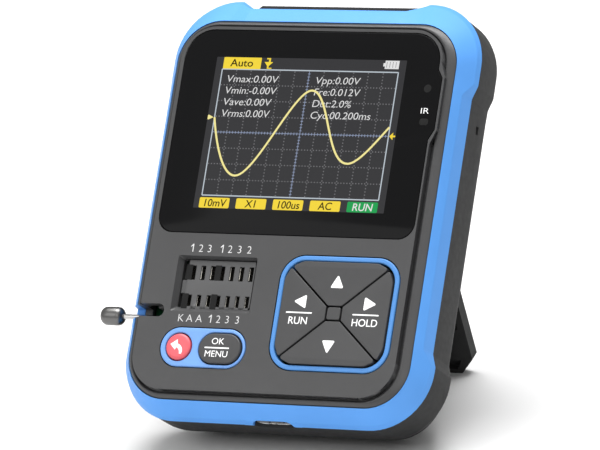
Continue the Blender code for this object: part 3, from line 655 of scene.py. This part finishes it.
def bumper():
    """Blue frame round the front cover; its levels hold body_corners' values."""
    outer = [(1.65, 36.05, 45.95, -45.85, 10.4, 0.0, 0.0, 0.0, 0.0),
             (6.0, 39.0, 51.6, -48.9, 14.1, 1.4, 1.9, 2.4, 0.8),
             (PARTING, 39.45, 52.5, -49.5, 14.5, 1.1, 2.3, 0.0, 0.9)]
    inner = [(PARTING, 36.0, 45.9, -45.8, 10.35, 0.0, 0.0, 0.0, 0.0),
             (1.8, 36.0, 45.9, -45.8, 10.35, 0.0, 0.0, 0.0, 0.0)]
    frame_piece = body_skin("blue_bumper", rounded_levels(outer, 0.3) + inner, closed=True, angle=20)
    tongue = block("tongue", (-6.7, 8.0), (7.2, 8.3), (-49.42, -47.6), 0.15)
    carve(frame_piece, "UNION", tongue)
    carve(frame_piece, "DIFFERENCE", notch_tool(-1.0, 6.1), usb_tool())
    show(frame_piece, "blue", "blue", "bumper_frame")


def rear_level(y, inset, back=False):
    """Outline of the rear shell's wall, or of its smaller flat back, moved in by the inset."""
    if back:
        width, top, bottom, radius, ears = 32.8, 48.6, -46.2, 11.0, (0.0, 0.0, 0.0, 0.0, EAR_TOP_BACK)
    else:
        width, top, bottom, radius, ears = 39.3, 52.3, -49.3, 14.3, (1.1, 2.3, 0.0, 0.9, EAR_TOP)
    return (y, width - inset, top - inset, bottom + inset, radius - inset, *ears)


def rear_skin(name, levels):
    """Skin of the rear shell, with its three edges running round it eased."""
    eased = []
    for i, level in enumerate(levels):
        if 0 < i < len(levels) - 1:
            for other in (levels[i - 1], levels[i + 1]):
                length = math.hypot(other[0] - level[0], other[1] - level[1])
                share = min(0.5 / length, 0.4)
                ears = blended(level[9], other[9], share)
                eased.append((*blended(level[:9], other[:9], share), ears))
        else:
            eased.append(level)
    return body_skin(name, eased, angle=24)


def rear_cover():
    """Hollow shell with its connector block, screw posts, the stand's well and every opening."""
    shell = rear_skin("rear_shell", [rear_level(PARTING + 0.25, 0.0), rear_level(17.0, 0.0),
                                     rear_level(27.5, -0.4, True), rear_level(BACK, 0.5, True)])
    connector = skin("connector", [(y, mirrored([(22.9, 47.0), (22.9, 50.1 - drop), (20.5, 52.4 - drop)]))
                                   for y, drop in ((10.0, 0.0), (22.0, 0.0), (25.5, 2.6))])
    inside = body_skin("inside", [rear_level(6.8, 2.0), rear_level(17.0, 2.0), rear_level(26.3, 2.0, True)])
    well = block("well", (-24.1, 24.1), (23.2, 27.9), (-43.8, 18.4))
    recess = flat("recess", [rect((-21.9, 21.9, -42.0, 16.6), 1.5)], 25.0, 31.0)
    posts = [turned("post", [(11.5, 3.0), (27.1, 3.0)], at=(x, 0, z), steps=24) for x, z in SCREWS]
    holes = [turned("hole", [(9.0, 1.3), (18.6, 1.3), (19.0, 1.3), (19.0, 2.2), (31.0, 2.2)],
                    at=(x, 0, z), steps=32) for x, z in SCREWS]
    jacks = [turned("jack_hole", [(46.0, 3.4), (54.0, 3.4)], "Z", (x, JACK_Y, 0), 40) for _, x in JACKS]
    slot = block("slot", (-3.2, 3.2), (12.2, 15.0), (47.0, 54.0))
    reset = block("reset", (35.0, 41.0), (12.35, 13.65), (23.05, 24.95))
    bore = turned("bore", [(-23.3, 1.1), (23.3, 1.1)], "X", (0, *STAND_PIVOT), 24)
    relief = block("relief", (-7.0, 8.3), (6.0, 8.6), (-50.5, -46.5))
    carve(shell, "UNION", connector)
    carve(shell, "DIFFERENCE", inside)
    carve(shell, "UNION", well, *posts)
    carve(shell, "DIFFERENCE", recess, bore, *holes, *jacks, slot, reset, relief, usb_tool())
    show(shell, "shell", "shell", "rear_cover")


def case_screws():
    for number, (x, z) in enumerate(SCREWS, 1):
        head = turned(f"screw_{number}", [(5.0, 0.95), (19.3, 0.95), (19.3, 1.85), (20.5, 1.85), (20.9, 1.5)],
                      at=(x, 0, z), steps=32)
        cross = [block("cross", (x - a, x + a), (20.1, 22.0), (z - b, z + b))
                 for a, b in ((0.9, 0.2), (0.2, 0.9))]
        carve(head, "DIFFERENCE", *cross)
        show(head, "steel", "steel", f"case_screw_{number}")


# ---------------- screen

PICTURE = centred(-0.34, 18.19, 48.96, 36.72)
GRATICULE = (-23.0, 22.4, 2.9, 33.6)
DIVISIONS = (12, 8)
TICKS = 5  # dots or ticks in each division
LENS_FRONT = 0.05
LAYER = 0.012  # depth between one layer of the picture and the next


def printed(name, outlines, layer, mat):
    """Flat part of the picture, in front of the layers with lower numbers."""
    y = LENS_FRONT - LAYER * layer
    return show(flat(name, outlines, y - LAYER, y + LAYER / 3), "lcd", mat)


def lens():
    plate = flat("lens_plate", [lens_edge()], LENS_FRONT, 0.85, 0.12)
    show(plate, "lens", "lens", "screen_lens")
    window = turned("status_window", [(0.0, 0.9), (0.04, 0.95), (0.3, 0.95)], at=(30.4, 0, 29.9), steps=32)
    show(window, "lens", "dark")
    infrared = flat("infrared_window", [rect(centred(30.7, 21.9, 2.2, 1.6), 0.6)], 0.0, 0.3, 0.03)
    show(infrared, "lens", "dark")
    label = lettering("infrared_label", "IR", 30.5, 23.9, 1.45, 0.03, 2.0, -0.012, align="CENTER")
    show(label, "white", "print")


def graticule():
    """Dotted grid, ticked middle lines and border of the picture."""
    x0, x1, z0, z1 = GRATICULE
    across, up = (x1 - x0) / DIVISIONS[0], (z1 - z0) / DIVISIONS[1]
    dots, size = [], 0.13
    for i in range(1, DIVISIONS[0]):
        if i != DIVISIONS[0] // 2:
            dots += [(x0 + i * across, z0 + (k + 0.5) * up / TICKS) for k in range(DIVISIONS[1] * TICKS)]
    for j in range(1, DIVISIONS[1]):
        if j != DIVISIONS[1] // 2:
            dots += [(x0 + (k + 0.5) * across / TICKS, z0 + j * up) for k in range(DIVISIONS[0] * TICKS)]
    squares("screen_dots", [(x - size, x + size, z - size, z + size) for x, z in dots], 2, "grid")
    middle_x, middle_z = (x0 + x1) / 2, (z0 + z1) / 2
    bars = [(x0, x1, middle_z - 0.06, middle_z + 0.06), (middle_x - 0.06, middle_x + 0.06, z0, z1)]
    for k in range(DIVISIONS[0] * TICKS + 1):
        x = x0 + k * across / TICKS
        bars.append((x - 0.07, x + 0.07, middle_z - 0.32, middle_z + 0.32))
    for k in range(DIVISIONS[1] * TICKS + 1):
        z = z0 + k * up / TICKS
        bars.append((middle_x - 0.32, middle_x + 0.32, z - 0.07, z + 0.07))
    squares("screen_axes", bars, 3, "axis")
    line = 0.14
    squares("screen_border", [(x0, x1, z1 - line, z1 + line), (x0, x1, z0 - line, z0 + line),
                              (x0 - line, x0 + line, z0, z1), (x1 - line, x1 + line, z0, z1)], 4,
            "frame")


def squares(name, boxes, layer, mat):
    """Many small lit rectangles as one piece."""
    y = (LENS_FRONT - LAYER * layer) * MM
    bm = bmesh.new()
    for x0, x1, z0, z1 in boxes:
        made = bmesh.ops.create_cube(bm, size=1.0)["verts"]
        bmesh.ops.scale(bm, verts=made, vec=((x1 - x0) * MM, 0.008 * MM, (z1 - z0) * MM))
        bmesh.ops.translate(bm, verts=made, vec=((x0 + x1) / 2 * MM, y, (z0 + z1) / 2 * MM))
    return show(mesh_object(name, bm), "lcd", mat)


def bezier(a, b, c, d, steps=24):
    points = []
    for i in range(steps):
        u = i / steps
        weights = ((1 - u) ** 3, 3 * u * (1 - u) ** 2, 3 * u * u * (1 - u), u ** 3)
        points.append(tuple(sum(w * p[k] for w, p in zip(weights, (a, b, c, d))) for k in (0, 1)))
    return points


def waveform():
    """Distorted sine drawn as a band along four curves that meet at its turning points."""
    start, low, high, dip, end = (-23.0, 21.8), (-15.3, 7.8), (1.1, 28.8), (13.0, 11.4), (22.3, 20.4)
    path = bezier(start, (-21.7, 16.2), (-18.9, 7.8), low) + bezier(low, (-10.3, 7.8), (-3.4, 28.8), high)
    path += bezier(high, (6.0, 28.8), (7.3, 11.4), dip) + bezier(dip, (15.8, 11.4), (19.4, 16.8), end) + [end]
    band(path, "screen_trace", 0.24, 6, "trace")


def band(path, name, half, layer, mat):
    left, right = [], []
    for i, point in enumerate(path):
        before, after = path[max(i - 1, 0)], path[min(i + 1, len(path) - 1)]
        along = (Vector(after) - Vector(before)).normalized()
        side = Vector((-along.y, along.x)) * half
        left.append(tuple(Vector(point) + side))
        right.append(tuple(Vector(point) - side))
    return printed(name, [left + right[::-1]], layer, mat)


def readouts():
    """Two columns of words and their widths."""
    columns = ((-21.5, (("Vmax:0.00V", 13.3), ("Vmin:-0.00V", 13.3), ("Vave:0.00V", 12.4),
                        ("Vrms:0.00V", 12.4))),
               (1.5, (("Vpp:0.00V", 11.4), ("Fre:0.012V", 11.8), ("Dut:2.0%", 9.9),
                      ("Cyc:00.200ms", 15.3))))
    top, pitch, height = 30.45, 2.8, 1.78
    for column, (x, lines) in enumerate(columns):
        for row, (words, width) in enumerate(lines):
            text = lettering(f"readout_{column}_{row}", words, x, top - pitch * row, height,
                             LENS_FRONT - 5 * LAYER, width, -0.006, 0.12)
            show(text, "lcd", "words")


def soft_keys():
    labels = (("10mV", "yellow"), ("X1", "yellow"), ("100us", "yellow"), ("AC", "yellow"), ("RUN", "green"))
    pitch, width = 9.51, 7.75
    for i, (words, colour) in enumerate(labels):
        x = -19.5 + pitch * i
        printed(f"soft_key_{i}", [rect(centred(x, 1.12, width, 2.5), 0.3, 4)], 4, colour)
        ink = "words" if colour == "green" else "ink"
        text = lettering(f"soft_label_{i}", words, x, 0.25, 1.85, LENS_FRONT - 0.07, None, 0.008, 0.1,
                         align="CENTER")
        show(text, "lcd", ink)


def status_bar():
    """Trigger tab and mark, battery, and the two arrows beside the graticule."""
    printed("trigger_tab", [rect((-22.9, -13.15, 33.7, 36.5), 0.15, 3)], 5, "yellow")
    show(lettering("trigger_label", "Auto", -18.1, 34.3, 1.85, LENS_FRONT - 0.08, 5.9, 0.01, align="CENTER"),
         "lcd", "ink")
    edge = [(-11.75, 36.45), (-10.75, 36.45), (-10.75, 35.5), (-10.1, 35.5), (-11.1, 34.5), (-11.1, 34.1),
            (-10.3, 34.1), (-10.3, 33.85), (-11.5, 33.85), (-11.5, 34.5), (-12.3, 35.5), (-11.2, 35.5),
            (-11.2, 36.15), (-11.75, 36.15)]
    printed("trigger_mark", [edge], 5, "yellow")
    battery = [(18.3, 35.0), (18.75, 35.0), (18.75, 34.4), (22.3, 34.4), (22.3, 36.4), (18.75, 36.4),
               (18.75, 35.8), (18.3, 35.8)]
    printed("battery_mark", [battery], 5, "words")
    cells = [rect((19.15 + 0.78 * i, 19.25 + 0.78 * i, 34.7, 36.1), 0.02, 2) for i in range(4)]
    for i, cell in enumerate(cells):
        printed(f"battery_gap_{i}", [cell], 7, "panel")
    printed("zero_mark", [outline([(-24.75, 22.5, 0.2), (-24.75, 21.1, 0.2), (-23.25, 21.8, 0.1)], 3)], 5,
            "trace")
    arrow = [(22.6, 18.25), (23.5, 19.15), (23.5, 18.45), (24.1, 18.45), (24.1, 18.05), (23.5, 18.05),
             (23.5, 17.35)]
    printed("level_mark", [arrow], 5, "yellow")


def screen():
    lens()
    show(flat("picture", [rect(PICTURE, 0.2, 3)], LENS_FRONT - LAYER, 0.2), "lcd", "panel")
    graticule()
    waveform()
    readouts()
    soft_keys()
    status_bar()


# ---------------- keys

def print_on(name, outlines, y, body):
    return show(flat(name, outlines, y - INK, y + INK), "white", "print", body=body)


def pad_ring():
    edges = [rect(PAD, PAD_R, CORNER_STEPS), rect(grown(PAD, -PAD_RIM), PAD_R - PAD_RIM, CORNER_STEPS)]
    ring = flat("pad_ring", edges, TRIM_FRONT, TRIM_BACK, 0.3)
    show(ring, "blue", "ring", "dpad_ring")


def key_edges():
    """Outlines of the four keys, whose seams run from the hub's corners to the ring's."""
    x, z = PAD_MID
    seam, half_seam = 0.42, 0.21
    hub_x, hub_z = HUB[0] / 2 + seam, HUB[1] / 2 + seam
    box = grown(PAD, -1.45)
    w, h = (box[1] - box[0]) / 2, (box[3] - box[2]) / 2
    corner = 4.55
    meet_x, meet_z = w - 1.35, h - 1.35
    up = [(-hub_x + half_seam + 0.1, hub_z, 0.3), (hub_x - half_seam - 0.1, hub_z, 0.3),
          (meet_x - half_seam, meet_z + 0.1, 0.5), (w - corner * 0.93, h, 3.2),
          (-w + corner * 0.93, h, 3.2), (-meet_x + half_seam, meet_z + 0.1, 0.5)]
    right = [(hub_x, -hub_z + half_seam + 0.1, 0.3), (meet_x + 0.1, -meet_z + half_seam, 0.5),
             (w, -h + corner * 0.93, 3.2), (w, h - corner * 0.93, 3.2),
             (meet_x + 0.1, meet_z - half_seam, 0.5), (hub_x, hub_z - half_seam - 0.1, 0.3)]

    def put(corners, sx, sz):
        return outline([(x + sx * u, z + sz * v, r) for u, v, r in corners], 6)
    return {"up": put(up, 1, 1), "down": put(up, 1, -1), "right": put(right, 1, 1), "left": put(right, -1, 1)}


def bar(x, z, width):
    """Printed line between an arrow and a word, or between two words."""
    return rect(centred(x, z, width, 0.32), 0.12, 3)


def triangle(cx, cz, pointing):
    """Arrow head pointing along an angle in degrees."""
    wide, tall = 3.35, 3.15
    c, s = math.cos(math.radians(pointing)), math.sin(math.radians(pointing))
    corners = [(tall / 2, 0.0), (-tall / 2, wide / 2), (-tall / 2, -wide / 2)]
    return outline([(cx + u * c - v * s, cz + u * s + v * c, 0.25) for u, v in corners], 4)


def pad_keys():
    """Four keys and the hub between them, with their arrows and words."""
    for name, edge in key_edges().items():
        key = flat("pad_key_" + name, [edge], KEY_FRONT, KEY_BACK, 0.14)
        show(key, "key", "key", "key_" + name, body="key_" + name)
    hub = flat("pad_hub", [rect(centred(*PAD_MID, *HUB), 0.45, 5)], KEY_FRONT, 9.0, 0.14)
    show(hub, "key", "key", "dpad_hub")
    arrows = (("up", 15.6, -16.8, 90), ("down", 15.6, -32.4, -90), ("left", 6.85, -21.85, 180),
              ("right", 24.7, -21.9, 0))
    for name, x, z, pointing in arrows:
        print_on("arrow_" + name, [triangle(x, z, pointing)], KEY_FRONT, "key_" + name)
    for name, words, x, width in (("left", "RUN", 7.0, 4.7), ("right", "HOLD", 23.9, 6.4)):
        print_on("bar_" + name, [bar(x, -24.5, 6.6)], KEY_FRONT, "key_" + name)
        text = lettering("word_" + name, words, x, -27.2, 1.8, KEY_FRONT - 0.01, width, 0.004,
                         align="CENTER")
        show(text, "white", "print", body="key_" + name)


def button_keys():
    """Blue trim, the red key that goes back, and the dark key with two words."""
    x, z, r = BACK_KEY
    ox, oz, ow, oh = OK_KEY
    trim = flat("key_trim", [stadium(*TRIM), circle(x, z, r + 0.25), stadium(ox, oz, ow + 0.5, oh + 0.5)],
                TRIM_FRONT, TRIM_BACK, 0.3)
    show(trim, "blue", "trim", "button_trim")
    red = turned("red_key", [(-0.6, 0.4), (-0.62, 1.6), (-0.6, r - 0.8), (-0.52, r - 0.4), (-0.32, r - 0.12),
                             (0.0, r), (KEY_BACK, r)], at=(x, 0, z), steps=64)
    show(red, "red", "red", "back_button", body="back_key")
    dark = flat("menu_key", [stadium(ox, oz, ow, oh)], KEY_FRONT, KEY_BACK, 0.35)
    show(dark, "key", "key", "ok_button", body="ok_key")
    print_on("menu_bar", [bar(-12.5, -33.66, 6.3)], KEY_FRONT, "ok_key")
    for name, words, base, width in (("ok_word", "OK", -32.8, 3.2), ("menu_word", "MENU", -35.8, 5.8)):
        text = lettering(name, words, -12.45, base, 1.55, KEY_FRONT - 0.01, width, align="CENTER")
        show(text, "white", "print", body="ok_key")
    print_on("return_arrow", [return_arrow()], KEY_FRONT - 0.025, "back_key")


def return_arrow():
    """Arrow that comes up and bends back to the left."""
    cx, cz = -23.05, -34.75
    outer = arc(cx, cz, 1.75, 78, -22, 10)
    inner = arc(cx - 0.3, cz - 0.45, 1.35, -8, 68, 10)
    head = [(cx + 0.1, cz + 0.8), (cx - 0.1, cz + 0.2), (cx - 1.5, cz + 1.55), (cx + 0.25, cz + 2.75)]
    return head + outer + inner


# ---------------- socket and lever

COLUMNS = [-22.2 + 2.48 * i for i in range(7)]
ROWS = {"upper": -15.55, "lower": -22.5}


def socket():
    """Fixed base with painted shade in its wells, sliding slotted top with painted shadows beside two of its
    columns, spring contacts and printed pin legends.
    """
    base = block("socket_base", (-24.45, -5.9), (2.9, 9.5), (-25.2, -12.05), 0.2)
    hinge = block("hinge_block", (-31.0, -24.0), (2.9, 9.5), (-23.9, -12.95), 0.2)
    carve(base, "UNION", hinge)
    wells = [block("well", (-23.4, -6.6), (2.0, 9.0), (z - 1.65, z + 1.65)) for z in ROWS.values()]
    bore = turned("bore", [(-24.5, 0.93), (-14.5, 0.93)], "Z", (LEVER[0], LEVER[1], 0), 32)
    carve(base, "DIFFERENCE", *wells, bore)
    show(base, "socket", "socket", "zif_base")
    slots = [rect(centred(x - 0.2, z, 1.2, 3.45), 0.05, 2) for z in ROWS.values() for x in COLUMNS]
    plate = flat("socket_slider", [rect((-23.75, -6.62, -23.65, -12.55), 0.3, 4)] + slots, 0.9, 1.5, 0.05)
    show(plate, "socket", "socket", "zif_slider", body="socket_slider")
    # thin near-black sheets on the slider's face beside columns 1 and 4: painted shadows, not recesses cut
    # into it
    for name, z in ROWS.items():
        for column in (0, 3):
            x = COLUMNS[column] - 1.3
            recess = block(f"painted_shadow_{column}_{name}", (x - 0.75, x + 0.8), (0.86, 0.95),
                           (z - 1.7, z + 1.9))
            show(recess, "socket", "dark", body="socket_slider")
    shelf = block("socket_shelf", (-25.2, -23.4), (1.6, 2.6), (-20.35, -17.2), 0.05)
    show(shelf, "socket", "socket")
    # near-black sheet behind the slider across the wells: painted shade, so the wells look dark inside
    show(block("socket_well_painted_shade", (-25.2, -6.5), (2.7, 2.8), (-23.8, -12.4)), "socket", "dark")
    for name, z in ROWS.items():
        leaves = [block("leaf", (x - 0.72, x - 0.6), (1.1, 8.4), (z - 1.45, z + 1.45), 0.03) for x in COLUMNS]
        strip = block("strip", (-23.0, -6.92), (8.1, 8.7), (z - 1.3, z + 1.3), 0.05)
        show(joined("contacts_" + name, leaves + [strip]), "contact", "contact", "zif_contacts_" + name)
    legends = (("upper", "1231232", (-23.1, -20.95, -18.7, -15.4, -13.4, -10.95, -8.45), -10.8),
               ("lower", "KAA1233", (-23.3, -21.05, -18.6, -15.6, -13.6, -11.3, -8.7), -27.6))
    for name, words, places, base in legends:
        for i, (letter, x) in enumerate(zip(words, places)):
            text = legend(f"legend_{name}_{i}", letter, x, base)
            show(text, "white", "legend")


def legend(name, letter, x, base):
    """Printed pin legend; a one gets the flag that the built-in lettering leaves out."""
    height = 1.9
    if letter != "1":
        return lettering(name, letter, x, base, height, -0.01, None, -0.012, align="CENTER")
    edge = [(x, base), (x + 0.23, base), (x + 0.23, base + height), (x + 0.02, base + height),
            (x - 0.5, base + height - 0.55), (x - 0.5, base + height - 0.75), (x, base + height - 0.42)]
    return flat(name, [edge], -INK, INK)


def lever():
    """Rod bent where it comes out of the socket, and its turned knob."""
    x, y, z, r = LEVER
    turn = 1.2
    bend = [(x - turn + turn * math.cos(a), y, z + turn - turn * math.sin(a))
            for a in (math.pi / 2 * i / 10 for i in range(11))]
    rod = tube("socket_lever", [(x, y, z + 9.5)] + bend + [(-41.9, y, z)], r)
    show(rod, "rod", "rod", "zif_lever", body="lever")
    profile = [(-46.6, 0.3), (-46.57, 0.9), (-46.4, 1.4), (-46.0, 1.85), (-45.4, 2.15), (-44.4, 2.2),
               (-42.3, 2.2), (-41.75, 2.1), (-41.3, 1.8), (-41.0, 1.4), (-40.9, 1.0), (-40.9, 0.62),
               (-41.5, 0.62)]
    knob = turned("knob", profile, "X", (0, y, z), 48, 50)
    show(knob, "knob", "knob", "lever_knob", body="lever")


# ---------------- ports

def upright(obj):
    """Turn a plate drawn as if seen from the front so that it is seen from below, in the USB's place."""
    obj.data.transform(Matrix.Translation((0, USB[1] * MM, 0)) @ Matrix.Rotation(math.pi / 2, 4, "X"))
    return obj


def usb():
    """Steel sleeve with its back wall, the tongue in it, and the tongue's contacts."""
    x, y = USB
    outside = stadium(x, 0, 8.94, 3.2)
    sleeve = flat("usb_sleeve", [outside, stadium(x, 0, 8.3, 2.6)], -48.6, -42.3, 0.08)
    wall = flat("usb_wall", [outside], -42.8, -41.7, 0.1)
    shell = joined("usb_receptacle", [upright(sleeve), upright(wall)])
    show(shell, "steel", "steel", "usb_shell")
    tongue = block("usb_blade", (x - 3.3, x + 3.3), (y - 0.35, y + 0.35), (-48.3, -43.3), 0.15)
    show(tongue, "chip", "chip", "usb_tongue")
    middles = [x - 2.75 + 0.5 * i for i in range(12)]
    pads = [block("pad", (at - 0.13, at + 0.13), (y - 0.37, y + 0.37), (-48.1, -44.5)) for at in middles]
    show(joined("usb_pads", pads), "contact", "contact")


def coax():
    """Two gold-plated jacks, each with its foot, centre contact and white sleeve."""
    for name, x in JACKS:
        at = (x, JACK_Y, 0)
        foot = block("foot", (x - 3.5, x + 3.5), (11.5, 18.5), (37.5, 44.5), 0.25)
        profile = [(44.0, 2.9), (51.3, 2.9), (51.6, 2.65), (51.6, 1.9), (51.3, 1.8), (44.6, 1.8)]
        barrel = turned("barrel", profile, "Z", at)
        show(joined("coax_" + name, [foot, barrel]), "brass", "brass", "coax_jack_" + name)
        pin = turned("coax_contact_" + name, [(44.4, 0.45), (50.1, 0.45), (50.4, 0.25)], "Z", at, 20)
        show(pin, "contact", "contact", "coax_pin_" + name)
        sleeve = turned("coax_sleeve_" + name, [(44.5, 1.7), (44.9, 1.7)], "Z", at, 32)
        show(sleeve, "white", "white")


def switches():
    knob = block("switch_knob", (-2.2, 0.2), (12.7, 14.5), (45.5, 52.2), 0.25)
    ribs = [block("rib", (-1.7 + 0.55 * i, -1.5 + 0.55 * i), (12.5, 14.7), (51.8, 53.0)) for i in range(4)]
    carve(knob, "DIFFERENCE", *ribs)
    show(knob, "key", "key", "power_knob", body="power_slider")


# ---------------- stand

def stand():
    """Hinged plate, drawn folded in the back and then opened about its pivot."""
    y, z = STAND_PIVOT
    place = about(STAND_PIVOT, STAND_OPEN)
    near, far = y - 1.5, y + 1.5
    edge = outline(mirrored([(18.0, z - 53.1, 0.5), (21.5, z - 49.0, 0.6), (21.5, z, 0.1)]), 6)
    leg = flat("stand_leg", [edge], near, far)
    knuckle = turned("knuckle", [(-21.47, 1.53), (21.47, 1.53)], "X", (0, y, z), 36)
    carve(leg, "UNION", knuckle)
    pocket = skin("pocket", [(near + deep, outline(mirrored([(half, z - 20.8 - half, 0.6),
                                                             (half, z - 31.6 + half, 0.6)]), 4))
                             for deep, half in ((-0.5, 19.9), (0.1, 19.7), (1.7, 19.4))])
    grip = flat("grip", [outline(mirrored([(17.0, z - 52.0, 0.3), (18.6, z - 49.4, 0.3)]), 4)],
                near - 1, near + 1.7)
    seats = [turned("seat", [(side * 17.2, 1.0), (side * 22.6, 1.0)], "X", (0, y, z), 24) for side in (-1, 1)]
    carve(leg, "DIFFERENCE", pocket, grip, *seats)
    soften(leg, 0.25)
    show(leg, "shell", "shell", "kickstand", body="stand", place=place)
    # near-black sheet on the pocket's floor: painted shade, making the blind pocket look deep and dark
    floor_edge = outline(mirrored([(19.3, z - 40.1, 0.5), (19.3, z - 12.3, 0.5)]), 4)
    pocket_painted_shade = flat("stand_pocket_painted_shade", [floor_edge], near + 1.6, near + 1.75)
    show(pocket_painted_shade, "shell", "dark", body="stand", place=place)


# ---------------- inner parts, carried over

KEPT = {
    "board": ("main_pcb",),
    "steel": ("crystal", "shield_can", "power_switch", "kickstand_pin_left", "kickstand_pin_right"),
    "chip": ("mcu_chip", "adc_chip", "boost_inductor", "buzzer", "battery_lead_black"),
    "white": ("battery_socket", "status_led", "lcd_backlight"),
    "cell": ("battery",),
    "foam": ("battery_pad",),
    "flex": ("lcd_flex",),
    "red": ("battery_lead_red",),
    "lens": ("ir_receiver", "lcd_panel"),
    "key": ("reset_button",),
    "dark": ("switch_up", "switch_down", "switch_left", "switch_right", "switch_back", "switch_ok",
             "reset_switch"),
}


def kept_nodes():
    for key, names in KEPT.items():
        for name in names:
            data = frame["nodes"][name].data
            data.materials.clear()
            data.materials.append(MATS[key])


# ---------------- stage

VIEW_LEAN, VIEW_AZIMUTH, VIEW_ELEVATION = (math.radians(a) for a in (20.01, 26.32, 3.82))
VIEW_OFFSET = (-2.564, 3.508, 1449.474)  # device's origin as the camera sees it: right, up, ahead


def camera():
    """Long lens at the viewing angle; its angles are given as if the device leaned VIEW_LEAN back."""
    data = bpy.data.cameras.new("camera")
    data.lens, data.sensor_width = 378.0, 36.0
    data.clip_start, data.clip_end = 0.1, 20.0
    cam = linked("camera", data)
    turn = (Matrix.Rotation(VIEW_LEAN, 4, "X") @ Matrix.Rotation(VIEW_AZIMUTH, 4, "Z")
            @ Matrix.Rotation(math.pi / 2 - VIEW_ELEVATION, 4, "X"))
    right, up, ahead = VIEW_OFFSET
    place = turn @ Matrix.Translation(Vector((-right, -up, ahead)) * MM)
    cam.matrix_world = DEVICE @ place
    bpy.context.scene.camera = cam


def lamp(name, place, target, size, power):
    data = bpy.data.lights.new(name, "AREA")
    data.shape = "RECTANGLE"
    data.size, data.size_y = size
    data.energy = power
    obj = linked(name, data)
    obj.location = place
    obj.rotation_euler = (Vector(target) - Vector(place)).to_track_quat("-Z", "Y").to_euler()


def floor():
    bm = bmesh.new()
    bmesh.ops.create_grid(bm, x_segments=1, y_segments=1, size=6.0)
    obj = mesh_object("floor", bm)
    obj.data.materials.append(plain_material("floor_white", (0.78, 0.78, 0.78), 0.8))


def studio():
    """Soft white surroundings, brightest up and to the left, with three area lamps."""
    world = bpy.data.worlds.new("studio")
    bpy.context.scene.world = world
    world.use_nodes = True
    nodes, links = world.node_tree.nodes, world.node_tree.links
    ways = nodes.new("ShaderNodeTexCoord")
    towards = nodes.new("ShaderNodeVectorMath")
    towards.operation = "DOT_PRODUCT"
    towards.inputs[1].default_value = Vector((-0.5, -0.62, 0.6)).normalized()
    links.new(ways.outputs["Generated"], towards.inputs[0])
    level = nodes.new("ShaderNodeMapRange")
    set_inputs(level, From_Min=-0.5, From_Max=0.9, To_Min=0.2, To_Max=0.72)
    links.new(towards.outputs["Value"], level.inputs["Value"])
    background = nodes["Background"]
    set_inputs(background, Color=(1.0, 1.0, 1.0, 1.0))
    links.new(level.outputs["Result"], background.inputs["Strength"])
    aim = (0.0, 0.0, 0.045)
    lamp("front_light", (0.35, -0.85, 0.55), aim, (0.5, 0.5), 1.6)
    lamp("left_light", (-0.22, -0.38, 0.30), aim, (0.25, 0.25), 0.35)
    lamp("top_light", (0.0, 0.1, 0.9), aim, (0.8, 0.5), 13.0)
    bpy.context.scene.view_settings.view_transform = "Standard"


camera()
studio()
floor()
front_cover()
bumper()
rear_cover()
case_screws()
screen()
pad_ring()
pad_keys()
button_keys()
socket()
lever()
usb()
coax()
switches()
stand()
kept_nodes()
